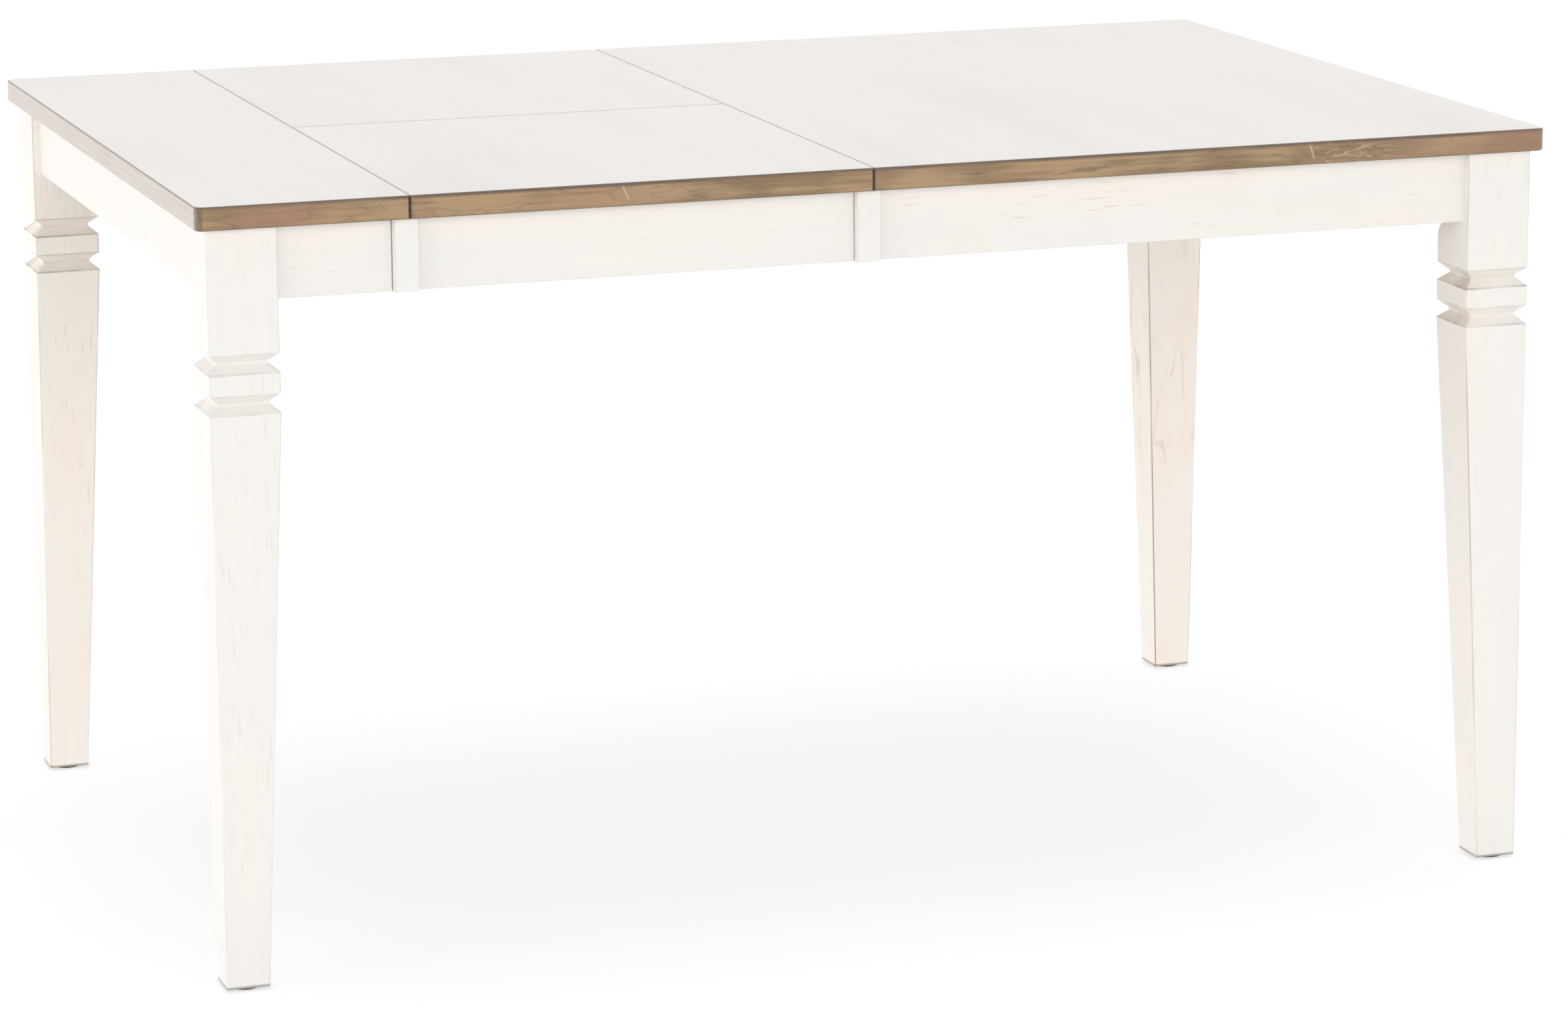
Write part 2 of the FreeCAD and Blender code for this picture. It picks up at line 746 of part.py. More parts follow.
def export_end_section():
    """End section: top, legs, aprons, cross rail, runners and turn button pivots."""
    slots = at_clips(clip_slot(), end_clip_places)
    export("end_top", [end_top()])
    export_pair("end_leg", to_end(leg()))
    export_pair("end_side_apron", bored(side_apron(-leg_inner_x, end_apron_right), slots))
    export("end_apron", [bored(to_end(end_apron()), slots)])
    export("end_cross_rail", [cross_rail()])
    export_pair("runner", runner())
    export("runner_screws", runner_screws())
    export("end_corner_blocks", both_sides(to_end(corner_block())))
    export("end_hanger_bolts", both_sides(to_end(hanger_bolt())))
    export("end_bolt_nuts", both_sides(to_end(flange_nut())))
    export("end_glides", both_sides(to_end(glide())))
    export("end_top_clips", at_clips(clip(), end_clip_places))
    export("end_clip_screws", at_clips(clip_screw(), end_clip_places))
    export("end_leaf_ledges", both_sides(ledge(end_seam, 1, end_ledge_offset)))
    export("turn_button_screws", both_sides(button_screw()))
    export("rear_hinge_bases", at_hinges(hinge_base()))
    export("front_hinge_bases", [to_front(one) for one in at_hinges(hinge_base())])
    export("rear_hinge_pins", at_hinges(hinge_pin()))
    export("front_hinge_pins", [to_front(one) for one in at_hinges(hinge_pin())])


def export_leaf():
    """Folding leaf and its hinge barrels."""
    barrels = [barrel_placed(barrel(), share) for share in barrel_shares]
    export_pair("leaf_half", leaf_half())
    export("rear_leaf_barrels", barrels)
    export("front_leaf_barrels", [to_front(one) for one in barrels])


def export_leaf_aprons():
    """Folding leaf aprons with their stiles and hinge brackets, and the turn buttons."""
    export_pair("leaf_apron", leaf_apron())
    export_pair("leaf_stile", stile(leaf_stile_left, leaf_apron_top))
    export("rear_hinge_brackets", at_hinges(hinge_bracket()))
    export("front_hinge_brackets", [to_front(one) for one in at_hinges(hinge_bracket())])
    export_pair("turn_button", turn_button())


os.makedirs("parts", exist_ok=True)
export_main_section()
export_end_section()
export_leaf()
export_leaf_aprons()
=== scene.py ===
"""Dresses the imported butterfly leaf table: whitewashed frame, pale top with stained edges, and hardware."""
import logging
import math
from collections.abc import Callable
from dataclasses import dataclass
from enum import Enum
from functools import reduce

import bmesh
import bpy
from mathutils import Matrix, Vector


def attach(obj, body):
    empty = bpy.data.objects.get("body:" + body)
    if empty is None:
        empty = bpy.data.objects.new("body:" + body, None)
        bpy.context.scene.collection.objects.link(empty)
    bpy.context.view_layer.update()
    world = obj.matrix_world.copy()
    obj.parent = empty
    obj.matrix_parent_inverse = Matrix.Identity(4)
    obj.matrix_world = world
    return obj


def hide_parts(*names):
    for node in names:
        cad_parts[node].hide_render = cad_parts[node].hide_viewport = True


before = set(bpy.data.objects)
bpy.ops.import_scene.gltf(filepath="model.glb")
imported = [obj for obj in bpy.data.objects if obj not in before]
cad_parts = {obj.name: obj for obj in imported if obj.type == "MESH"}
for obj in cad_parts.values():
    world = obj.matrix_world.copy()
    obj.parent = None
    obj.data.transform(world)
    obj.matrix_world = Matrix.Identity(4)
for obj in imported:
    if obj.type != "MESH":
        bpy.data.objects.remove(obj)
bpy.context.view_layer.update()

LOG = logging.getLogger("butterfly_leaf_table")

Colour = tuple[float, float, float]
Point = tuple[float, float, float]
Box = tuple[Vector, Vector]
Socket = bpy.types.NodeSocket

WHITE: Colour = (1.0, 1.0, 1.0)
BOARD_SHIFT: Point = (0.731, 0.417, 0.293)
LINE_CORE = 0.35  # share of a soft line's reach that keeps its full strength
EDGE_SAMPLES = 6
MERGE_DISTANCE = 0.00001
FACING = 0.9  # least part of a normal along Z for a face to count as an end face


class Grain(Enum):
    """Way in which a piece's grain runs, as the turn that lays it along X."""

    ALONG_TABLE = (0.0, 0.0, 0.0)
    ACROSS_TABLE = (0.0, 0.0, -math.pi / 2)
    UPRIGHT = (0.0, math.pi / 2, 0.0)


class Coat(Enum):
    """How thin the white wash is at least, and how much thinner in its clouds."""

    FULL = (0.0, 0.22)
    LIGHT = (0.06, 0.30)
    THIN = (0.26, 0.34)
    RUBBED = (0.45, 0.45)


@dataclass(frozen=True)
class Noise:
    """Noise drawn out along the grain: waves per metre along and across it, finer octaves, and twist."""

    along: float
    across: float
    detail: float = 2.0
    swirl: float = 0.0


@dataclass(frozen=True)
class Mark:
    """How a value becomes a mark: where it starts, where it is full, its added and its least strength."""

    start: float
    full: float
    strength: float = 1.0
    least: float = 0.0


@dataclass(frozen=True)
class Line:
    """Soft line where a value is near a middle: the middle, the reach to each side, and the strength."""

    middle: float
    reach: float
    strength: float = 1.0


@dataclass(frozen=True)
class Surface:
    """Roughness at its middle, how far it swings, and the depth of the grain in metres."""

    roughness: float
    swing: float
    depth: float


class NodeGraph:
    """Nodes of one material or of the world."""

    def __init__(self, tree: bpy.types.NodeTree) -> None:
        """Empty a node tree, to wire it afresh."""
        self.tree = tree
        self.tree.nodes.clear()

    def feed(self, socket: Socket, value: "Socket | float | Colour") -> None:
        """Wire a socket into another, or set its value.

        Args:
            socket: Input to feed.
            value: Output socket, number or colour.
        """
        if isinstance(value, bpy.types.NodeSocket):
            self.tree.links.new(value, socket)
        elif isinstance(value, tuple) and len(socket.default_value) == len(value) + 1:
            socket.default_value = (*value, 1.0)
        else:
            socket.default_value = value

    def add(self, kind: str, **inputs: "Socket | float | Colour") -> bpy.types.Node:
        """Add a node and feed its inputs.

        Args:
            kind: Blender's name of the node, without its first word.
            inputs: What goes into each input, by the input's name with underscores for spaces.

        Returns:
            The node.
        """
        node = self.tree.nodes.new("ShaderNode" + kind)
        for name, value in inputs.items():
            self.feed(node.inputs[name.replace("_", " ")], value)
        return node

    def vectors(self, action: str, *values: "Socket | Point") -> bpy.types.Node:
        """One step of vector arithmetic.

        Args:
            action: Blender's name of the operation.
            values: Vectors that it takes.

        Returns:
            The node.
        """
        node = self.add("VectorMath")
        node.operation = action
        for socket, value in zip(node.inputs, values):
            self.feed(socket, value)
        return node

    def maths(self, action: str, first: "Socket | float", second: "Socket | float" = 0.0) -> Socket:
        """One arithmetic step.

        Args:
            action: Blender's name of the operation.
            first: Left value.
            second: Right value, where the operation has one.

        Returns:
            The result.
        """
        node = self.add("Math")
        node.operation = action
        self.feed(node.inputs[0], first)
        self.feed(node.inputs[1], second)
        return node.outputs[0]

    def times(self, *values: "Socket | float") -> Socket:
        """Product of several values."""
        return reduce(lambda product, value: self.maths("MULTIPLY", product, value), values)

    def left_by(self, share: Socket) -> Socket:
        """What a share leaves of 1."""
        return self.maths("SUBTRACT", 1.0, share)

    def step(self, value: Socket, low: float, high: float) -> Socket:
        """Smooth step of a value.

        Args:
            value: Value to shape.
            low: Where the step starts, at 0.
            high: Where the step ends, at 1.

        Returns:
            The step, from 0 to 1.
        """
        node = self.add("MapRange", Value=value, From_Min=low, From_Max=high)
        node.interpolation_type = "SMOOTHSTEP"
        return node.outputs["Result"]

    def mark(self, value: Socket, mark: Mark) -> Socket:
        """Strength of a mark at each place."""
        share = self.times(self.step(value, mark.start, mark.full), mark.strength)
        return self.maths("ADD", share, mark.least)

    def line(self, value: Socket, line: Line) -> Socket:
        """Strength of a soft line at each place.

        Args:
            value: Value to look at.
            line: Where the line lies and how strong it is.

        Returns:
            The strength.
        """
        away = self.maths("ABSOLUTE", self.maths("SUBTRACT", value, line.middle))
        beside = self.step(away, LINE_CORE * line.reach, line.reach)
        return self.times(self.left_by(beside), line.strength)

    def choice(self, share: Socket, first: Socket, second: Socket) -> Socket:
        """One shader or another.

        Args:
            share: 0 for the first and 1 for the second.
            first: First shader.
            second: Second shader.

        Returns:
            The shader that shows.
        """
        node = self.add("MixShader")
        for socket, value in zip(node.inputs, (share, first, second)):
            self.feed(socket, value)
        return node.outputs[0]

    def looked_at(self) -> Socket:
        """Whether the camera, a reflection or a clear surface looks at the background.

        Returns:
            1 where it is looked at, 0 where it only lights.
        """
        path = self.add("LightPath").outputs
        seen = self.maths("MAXIMUM", path["Is Camera Ray"], path["Is Glossy Ray"])
        return self.maths("MAXIMUM", seen, path["Is Transmission Ray"])


class FinishGraph(NodeGraph):
    """Nodes of one finish, wired from Object coordinates to a Principled shader."""

    def __init__(self, name: str, grain: Grain = Grain.ALONG_TABLE,
                 offset: Point = (0.0, 0.0, 0.0)) -> None:
        """Start an empty finish.

        Args:
            name: Name of the material.
            grain: Way in which the piece's grain runs.
            offset: Shift of the grain in metres, so that no two boards look cut from one place.
        """
        self.material = bpy.data.materials.new(name)
        self.material.use_nodes = True
        super().__init__(self.material.node_tree)
        self.shader = self.add("BsdfPrincipled")
        self.add("OutputMaterial", Surface=self.shader.outputs["BSDF"])
        self.place = self.add("TexCoord")
        self.along_grain = self.lengthwise(grain, offset)

    def blend(self, share: "Socket | float", under: "Socket | Colour", over: "Socket | Colour") -> Socket:
        """Colour over another by a share.

        Args:
            share: How much of the upper colour shows.
            under: Lower colour.
            over: Upper colour.

        Returns:
            The blended colour.
        """
        node = self.add("Mix")
        node.data_type = "RGBA"
        self.feed(node.inputs[0], share)
        self.feed(node.inputs[6], under)
        self.feed(node.inputs[7], over)
        return node.outputs[2]

    def lengthwise(self, grain: Grain, offset: Point) -> Socket:
        """Object coordinates turned so that the grain runs along X, and shifted."""
        own = self.place.outputs["Object"]
        return self.add("Mapping", Rotation=grain.value, Location=offset, Vector=own).outputs["Vector"]

    def noise(self, noise: Noise, place: "Socket | None" = None) -> Socket:
        """Noise drawn out along the grain.

        Args:
            noise: How the noise runs.
            place: Coordinates with the grain along X, where they aren't the finish's own.

        Returns:
            The noise, about 0.5.
        """
        place = self.along_grain if place is None else place
        stretch = self.vectors("MULTIPLY", place, (noise.along, noise.across, noise.across))
        node = self.add("TexNoise", Vector=stretch.outputs[0], Scale=1.0, Detail=noise.detail,
                        Distortion=noise.swirl)
        return node.outputs[0]

    def mixed(self, first: Socket, second: Socket, share: float) -> Socket:
        """Two noises as one, by the share of the second."""
        return self.maths("ADD", self.times(first, 1.0 - share), self.times(second, share))

    def parts(self, output: str) -> list[Socket]:
        """The parts along X, Y and Z of the piece's own place in metres, "Object", or of its "Normal"."""
        return list(self.add("SeparateXYZ", Vector=self.place.outputs[output]).outputs)

    def sizes(self, output: str) -> list[Socket]:
        """The same parts without their signs."""
        return [self.maths("ABSOLUTE", part) for part in self.parts(output)]

    def edge_line(self, reach: float, sharp: Mark) -> Socket:
        """Thin lines along the sharp edges of a piece.

        Args:
            reach: Reach of a line from its edge, in metres.
            sharp: How sharp an edge is where a line starts and where it is full.

        Returns:
            The strength of the lines.
        """
        rounded = self.add("Bevel", Radius=reach)
        rounded.samples = EDGE_SAMPLES
        dot = self.vectors("DOT_PRODUCT", rounded.outputs[0], self.add("NewGeometry").outputs["Normal"])
        return self.mark(self.left_by(dot.outputs["Value"]), sharp)

    def finish(self, colour: Socket, surface: Surface, noise: Socket, height: Socket) -> bpy.types.Material:
        """Wire the last three inputs of the shader.

        Args:
            colour: Base colour.
            surface: Roughness and depth of the grain.
            noise: Noise with which the roughness swings.
            height: Height of the grain, from 0 to 1.

        Returns:
            The finished material.
        """
        smoothest = surface.roughness - surface.swing / 2
        rough = self.maths("ADD", self.times(noise, surface.swing), smoothest)
        bump = self.add("Bump", Strength=1.0, Distance=surface.depth, Height=height)
        self.feed(self.shader.inputs["Base Color"], colour)
        self.feed(self.shader.inputs["Roughness"], rough)
        self.feed(self.shader.inputs["Normal"], bump.outputs["Normal"])
        return self.material


@dataclass(frozen=True)
class LegGlazeAndShade:
    """Lines round a leg, by height in metres: brown glaze at its grooves' lips, glaze with painted shade at
    their floors, and a painted contact shadow round its lowest end.
    """

    block_low: Line = Line(0.61365, 0.0012, 0.45)
    upper_floor: Line = Line(0.6044, 0.0014, 0.40)
    band_top: Line = Line(0.59515, 0.0014, 0.85)
    band_low: Line = Line(0.57515, 0.0014, 0.50)
    lower_floor: Line = Line(0.5659, 0.0014, 0.45)
    shaft_top: Line = Line(0.55665, 0.0014, 0.75)
    # painted contact shadow: a dark band round the leg's lowest millimetres, standing in for the floor's
    # shadow at the glide
    foot_shadow: Line = Line(0.003, 0.0032, 0.6)
    lip_fade: float = 0.0005


@dataclass(frozen=True)
class Wear:
    """How much a piece is marked, from 0 to 1, and the height in metres at which its knots gather."""

    flecks: float
    knots: float
    glaze_and_shade: float
    knot_height: float | None = None


@dataclass(frozen=True)
class Board:
    """Whitewashed board: its node, its number in its sub-assembly, its grain, its coat and its wear."""

    node: str
    number: int
    grain: Grain
    coat: Coat
    wear: Wear


@dataclass(frozen=True)
class Whitewash:
    """White wash rubbed over wood, with brown glaze left on the arrises and in the grooves; the dark in the
    grooves and concave corners is partly painted shade.
    """

    wash: Colour = (0.868, 0.852, 0.817)
    thin_wash: Colour = (0.95, 0.885, 0.805)
    blush: Colour = (0.93, 0.82, 0.735)
    wood: Colour = (0.47, 0.34, 0.235)
    glaze_and_shade: Colour = (0.115, 0.08, 0.055)
    surface: Surface = Surface(0.46, 0.16, 0.00012)
    cloud_noise: Noise = Noise(3.5, 13.0)
    band_noise: Noise = Noise(1.6, 60.0)
    band_share: float = 0.35
    thin_between: tuple[float, float] = (0.38, 0.66)
    pink_noise: Noise = Noise(5.0, 21.0)
    pink_between: tuple[float, float] = (0.48, 0.68)
    pink_least: float = 0.1
    pink_where_thin: float = 1.6
    fibre_noise: Noise = Noise(10.0, 620.0, 3.0)
    fibre: Mark = Mark(0.5, 0.78, 0.04)
    fleck_noise: Noise = Noise(30.0, 340.0, 1.0)
    fleck: Mark = Mark(0.62, 0.74, 0.38)
    fleck_cloud: Mark = Mark(0.5, 0.6)
    bent_noise: Noise = Noise(6.0, 34.0, 1.0, 0.5)
    knot_noise: Noise = Noise(9.0, 17.0, 1.0)
    knot: Mark = Mark(0.56, 0.68)
    knot_reach: float = 0.19
    knot_halo: Line = Line(0.5, 0.12, 0.55)
    knot_line: Line = Line(0.5, 0.03, 0.34)
    break_noise: Noise = Noise(17.0, 40.0)
    line_break: Mark = Mark(0.46, 0.62)
    arris: Mark = Mark(0.2, 0.55)
    edge_reach: float = 0.0012
    sharp_edge: Mark = Mark(0.008, 0.06, 0.55)
    rub_noise: Noise = Noise(5.0, 30.0)
    glaze_kept: Mark = Mark(0.36, 0.6, 0.5, 0.16)
    groove_shift: Point = (0.37, 0.11, 0.0)
    groove_noise: Noise = Noise(26.0, 26.0)
    lip_kept: Mark = Mark(0.36, 0.62, 0.75, 0.2)
    slope_kept: Mark = Mark(0.36, 0.62, 0.14)
    slope: Mark = Mark(0.25, 0.5)
    left_slope: Mark = Mark(0.3, 0.6, 0.5)
    leg: LegGlazeAndShade = LegGlazeAndShade()

    def make(self, board: Board, offset: Point) -> bpy.types.Material:
        """Material of one board, with glaze and painted shade in its grooves if it is a leg.

        Args:
            board: Board to wash.
            offset: Shift of the grain in metres.

        Returns:
            The material.
        """
        graph = FinishGraph(board.node + "_wash", board.grain, offset)
        cloud = graph.noise(self.cloud_noise)
        fibre = graph.noise(self.fibre_noise)
        colour = self.rubbed(graph, cloud, board.coat)
        colour = graph.blend(graph.mark(fibre, self.fibre), colour, self.wood)
        colour = self.marked(graph, cloud, board.wear, colour)
        colour = self.glazed_and_shaded(graph, board.wear.glaze_and_shade, colour)
        if board.node.endswith("_leg"):
            colour = self.grooved(graph, board.wear.glaze_and_shade, colour)
        return graph.finish(colour, self.surface, fibre, fibre)

    def rubbed(self, graph: FinishGraph, cloud: Socket, coat: Coat) -> Socket:
        """Wash that is thinner in drawn-out clouds, and pinker in some of them.

        Args:
            graph: Finish that is wired.
            cloud: Large noise.
            coat: How thin the wash is.

        Returns:
            The colour.
        """
        least, more = coat.value
        drawn = graph.mixed(cloud, graph.noise(self.band_noise), self.band_share)
        thin = graph.mark(drawn, Mark(*self.thin_between, more, least))
        colour = graph.blend(thin, self.wash, self.thin_wash)
        pink = Mark(*self.pink_between, self.pink_least + self.pink_where_thin * least)
        return graph.blend(graph.mark(graph.noise(self.pink_noise), pink), colour, self.blush)

    def marked(self, graph: FinishGraph, cloud: Socket, wear: Wear, colour: Socket) -> Socket:
        """Short flecks, and the bent lines of small knots.

        Args:
            graph: Finish that is wired.
            cloud: Large noise.
            wear: How many flecks and knots show.
            colour: Colour under the marks.

        Returns:
            The colour with its marks.
        """
        fleck = graph.mark(graph.noise(self.fleck_noise), self.fleck)
        flecks = graph.times(fleck, graph.mark(cloud, self.fleck_cloud), wear.flecks)
        colour = graph.blend(flecks, colour, self.wood)
        if wear.knot_height is None:
            spot = graph.mark(graph.noise(self.knot_noise), self.knot)
        else:
            spot = graph.line(graph.parts("Object")[2], Line(wear.knot_height, self.knot_reach))
        bent = graph.noise(self.bent_noise)
        halo = graph.times(graph.line(bent, self.knot_halo), spot, wear.knots)
        colour = graph.blend(halo, colour, self.blush)
        short = graph.mark(graph.noise(self.break_noise), self.line_break)
        lines = graph.times(graph.line(bent, self.knot_line), short, spot, wear.knots)
        return graph.blend(lines, colour, self.wood)

    def glazed_and_shaded(self, graph: FinishGraph, glaze_and_shade: float, colour: Socket) -> Socket:
        """Brown glaze along the upright arrises and the sharp edges; along the concave edges it is partly
        painted shade.

        Args:
            graph: Finish that is wired.
            glaze_and_shade: How much of it stayed, from 0 to 1.
            colour: Colour under the glaze.

        Returns:
            The colour with its glaze.
        """
        along, across, _ = graph.sizes("Normal")
        arris = graph.mark(graph.maths("MINIMUM", along, across), self.arris)
        # lines along sharp edges, convex and concave: glaze, and in concave corners partly painted shade
        lines = graph.maths("MAXIMUM", graph.edge_line(self.edge_reach, self.sharp_edge), arris)
        kept = graph.mark(graph.noise(self.rub_noise), self.glaze_kept)
        return graph.blend(graph.times(lines, kept, glaze_and_shade), colour, self.glaze_and_shade)

    def grooved(self, graph: FinishGraph, glaze_and_shade: float, colour: Socket) -> Socket:
        """Painted contact shadow round a leg's lowest end, and brown glaze with painted shade on the lips,
        floors and slopes of its two grooves.

        Args:
            graph: Finish that is wired.
            glaze_and_shade: How much of it stayed, from 0 to 1.
            colour: Colour under the glaze.

        Returns:
            The colour with its glaze.
        """
        height = graph.parts("Object")[2]
        gaps = graph.noise(self.groove_noise, graph.lengthwise(Grain.ALONG_TABLE, self.groove_shift))
        kept = graph.mark(gaps, self.lip_kept)
        at = self.leg
        # glaze on the grooves' lips, and glaze with painted shade on their floors
        lips = graph.line(height, at.block_low)
        for lip in (at.upper_floor, at.band_top, at.band_low, at.lower_floor, at.shaft_top):
            lips = graph.maths("MAXIMUM", lips, graph.line(height, lip))
        colour = graph.blend(graph.times(lips, kept, glaze_and_shade), colour, self.glaze_and_shade)
        # painted contact shadow round the leg's lowest end, at the same strength on every leg
        colour = graph.blend(graph.line(height, at.foot_shadow), colour, self.glaze_and_shade)
        low, high = at.shaft_top.middle, at.block_low.middle
        inside = graph.times(graph.step(height, low - at.lip_fade, low),
                             graph.left_by(graph.step(height, high, high + at.lip_fade)))
        # darker groove slopes, more where they face -X: partly glaze, partly painted shade
        left, _, up = graph.parts("Normal")
        slope = graph.mark(graph.maths("ABSOLUTE", up), self.slope)
        leftward = graph.mark(graph.maths("MULTIPLY", left, -1.0), self.left_slope)
        settled_and_shaded = graph.maths("ADD", graph.times(leftward, kept), graph.mark(gaps, self.slope_kept))
        return graph.blend(graph.times(inside, slope, settled_and_shaded, glaze_and_shade), colour, self.wood)


@dataclass(frozen=True)
class TopWood:
    """Limed boards that run across the table, with brown stain on their front and rear edges; their pale
    upper side and end faces are partly painted sheen.
    """

    # pale upper side: partly limed wood, partly painted sheen of the satin coat at a grazing view
    limed_and_painted_sheen: Colour = (0.812, 0.757, 0.708)
    figure: Colour = (0.52, 0.42, 0.36)
    stain: Colour = (0.235, 0.138, 0.056)
    stain_light: Colour = (0.395, 0.252, 0.115)
    reddish: Colour = (0.335, 0.18, 0.095)
    knot: Colour = (0.085, 0.048, 0.028)
    nick: Colour = (0.60, 0.45, 0.27)
    # near-black of the seam gaps: painted shade
    seam_gap_painted_shade: Colour = (0.03, 0.014, 0.009)
    # pale end faces: partly the wood's tan, partly painted sheen of the lacquer seen at a grazing angle
    end_edge_and_painted_sheen: Colour = (0.545, 0.445, 0.372)
    arris: Colour = (0.115, 0.08, 0.055)
    seam: Colour = (0.40, 0.34, 0.29)
    underside: Colour = (0.58, 0.45, 0.315)
    underside_late: Colour = (0.44, 0.32, 0.205)
    surface: Surface = Surface(0.36, 0.12, 0.00006)
    coat_weight: float = 0.8
    coat_roughness: float = 0.28
    fibre_noise: Noise = Noise(8.0, 560.0, 3.0)
    end_fibre: Mark = Mark(0.4, 0.7, 0.3)
    end_side: Mark = Mark(0.6, 0.9)
    corner: Mark = Mark(0.1, 0.45)
    seam_stain: float = 0.55
    seam_corner: Mark = Mark(0.4, 0.8)
    seam_side: Mark = Mark(0.5, 0.7)
    past_seams: Mark = Mark(0.60, 0.62)
    past_middle: Mark = Mark(0.30, 0.32)
    upper_arris: Mark = Mark(0.2, 0.55)
    upper_side: Mark = Mark(0.78, 0.95)
    lower_arris: Mark = Mark(0.2, 0.6, 0.6)
    lower_side: Mark = Mark(0.85, 0.97)
    bare_noise: Noise = Noise(1.8, 46.0, 3.0)
    bare: Mark = Mark(0.36, 0.68)
    cloud_noise: Noise = Noise(2.2, 7.0)
    band_noise: Noise = Noise(1.5, 26.0)
    band_share: float = 0.3
    mottle: Mark = Mark(0.36, 0.72, 0.22)
    board_fibre: Mark = Mark(0.5, 0.8, 0.06)
    streak_noise: Noise = Noise(9.0, 210.0, 3.0)
    patch_noise: Noise = Noise(9.0, 20.0)
    patch_share: float = 0.6
    light_patch: Mark = Mark(0.41, 0.59)
    warm_noise: Noise = Noise(6.0, 9.0)
    warm: Mark = Mark(0.48, 0.64, 0.7)
    bent_noise: Noise = Noise(11.0, 60.0, 1.0, 0.6)
    bent_line: Line = Line(0.5, 0.02, 0.26)
    knot_noise: Noise = Noise(26.0, 130.0)
    knots: Mark = Mark(0.61, 0.74, 0.55)
    nick_noise: Noise = Noise(44.0, 150.0, 1.0, 1.2)
    nicks: Mark = Mark(0.56, 0.66)
    nicks_at: Line = Line(0.482, 0.065, 0.5)
    dark_streak: Mark = Mark(0.46, 0.62)
    dark_at: Line = Line(0.482, 0.0975, 0.4)
    scratches: tuple[tuple[Line, float], ...] = (
        (Line(-0.2725, 0.0016, 0.6), 0.43), (Line(0.432, 0.0016, 0.6), 0.35))
    scratch_end: Mark = Mark(0.736, 0.741)
    edge_middle: float = 0.744
    upper_line: Mark = Mark(0.7508, 0.7538)
    upper_rub: Mark = Mark(0.42, 0.58, 0.5, 0.4)
    # lines at the seams between the top's parts: painted shade of the gaps on the stained edges
    seams: tuple[Line, ...] = (Line(-0.4826, 0.0024, 0.95), Line(-0.0254, 0.0024, 0.95))

    def make(self, name: str, offset: Point, corners: float = 0.5) -> bpy.types.Material:
        """Material of one part of the top.

        Args:
            name: Name of the material.
            offset: Shift of the grain in metres.
            corners: How dark the rounded corners are, from 0 to 1.

        Returns:
            The material.
        """
        graph = FinishGraph(name, Grain.ACROSS_TABLE, offset)
        fibre = graph.noise(self.fibre_noise)
        along, across, _ = graph.sizes("Normal")
        # end faces: pale tan with stained fibres, partly painted sheen
        end = graph.blend(graph.mark(fibre, self.end_fibre), self.end_edge_and_painted_sheen, self.stain)
        colour = graph.blend(graph.mark(along, self.end_side), self.stained(graph, offset), end)
        corner = graph.mark(graph.maths("MINIMUM", along, across), self.corner)
        colour = graph.blend(graph.times(corner, corners), colour, self.arris)
        seam = self.in_seam(graph, along, across)
        colour = graph.blend(graph.times(seam, self.seam_stain), colour, self.stain)
        # knot-dark seam chamfers: painted shade inside the seams
        colour = graph.blend(graph.times(seam, graph.mark(corner, self.seam_corner)), colour, self.knot)
        upward = graph.parts("Normal")[2]
        rim = graph.blend(seam, self.arris, self.seam)
        colour = graph.blend(graph.mark(upward, self.upper_arris), colour, rim)
        colour = graph.blend(graph.mark(upward, self.upper_side), colour, self.boards(graph, fibre))
        downward = graph.maths("MULTIPLY", upward, -1.0)
        colour = graph.blend(graph.mark(downward, self.lower_arris), colour, self.arris)
        bare = graph.mark(graph.noise(self.bare_noise), self.bare)
        below = graph.blend(bare, self.underside, self.underside_late)
        colour = graph.blend(graph.mark(downward, self.lower_side), colour, below)
        graph.shader.inputs["Coat Weight"].default_value = self.coat_weight
        graph.shader.inputs["Coat Roughness"].default_value = self.coat_roughness
        return graph.finish(colour, self.surface, fibre, fibre)

    def boards(self, graph: FinishGraph, fibre: Socket) -> Socket:
        """Pale upper side with clouds and fine grain across the table, partly limed colour and partly painted
        sheen.

        Args:
            graph: Finish that is wired.
            fibre: Fine grain.

        Returns:
            The colour.
        """
        mottle = graph.mixed(graph.noise(self.cloud_noise), graph.noise(self.band_noise), self.band_share)
        colour = graph.blend(graph.mark(mottle, self.mottle), self.limed_and_painted_sheen, self.figure)
        return graph.blend(graph.mark(fibre, self.board_fibre), colour, self.figure)

    def stained(self, graph: FinishGraph, offset: Point) -> Socket:
        """Brown front and rear edges with streaks, bent grain, knots, a dark line under the upper arris, and
        painted shade at the seams.

        Args:
            graph: Finish that is wired.
            offset: Shift of the grain in metres.

        Returns:
            The colour.
        """
        place = graph.lengthwise(Grain.ALONG_TABLE, offset)
        streak = graph.noise(self.streak_noise, place)
        patch = graph.noise(self.patch_noise, place)
        tone = graph.mixed(streak, patch, self.patch_share)
        colour = graph.blend(graph.mark(tone, self.light_patch), self.stain, self.stain_light)
        warm = graph.mark(graph.noise(self.warm_noise, place), self.warm)
        colour = graph.blend(warm, colour, self.reddish)
        bent = graph.line(graph.noise(self.bent_noise, place), self.bent_line)
        colour = graph.blend(bent, colour, self.knot)
        knots = graph.mark(graph.noise(self.knot_noise, place), self.knots)
        colour = graph.blend(knots, colour, self.knot)
        along, _, height = graph.parts("Object")
        colour = self.nicked(graph, place, streak, colour)
        line = graph.times(graph.mark(height, self.upper_line), graph.mark(patch, self.upper_rub))
        colour = graph.blend(line, colour, self.knot)
        # painted shade along each seam gap
        for seam in self.seams:
            colour = graph.blend(graph.line(along, seam), colour, self.seam_gap_painted_shade)
        return colour

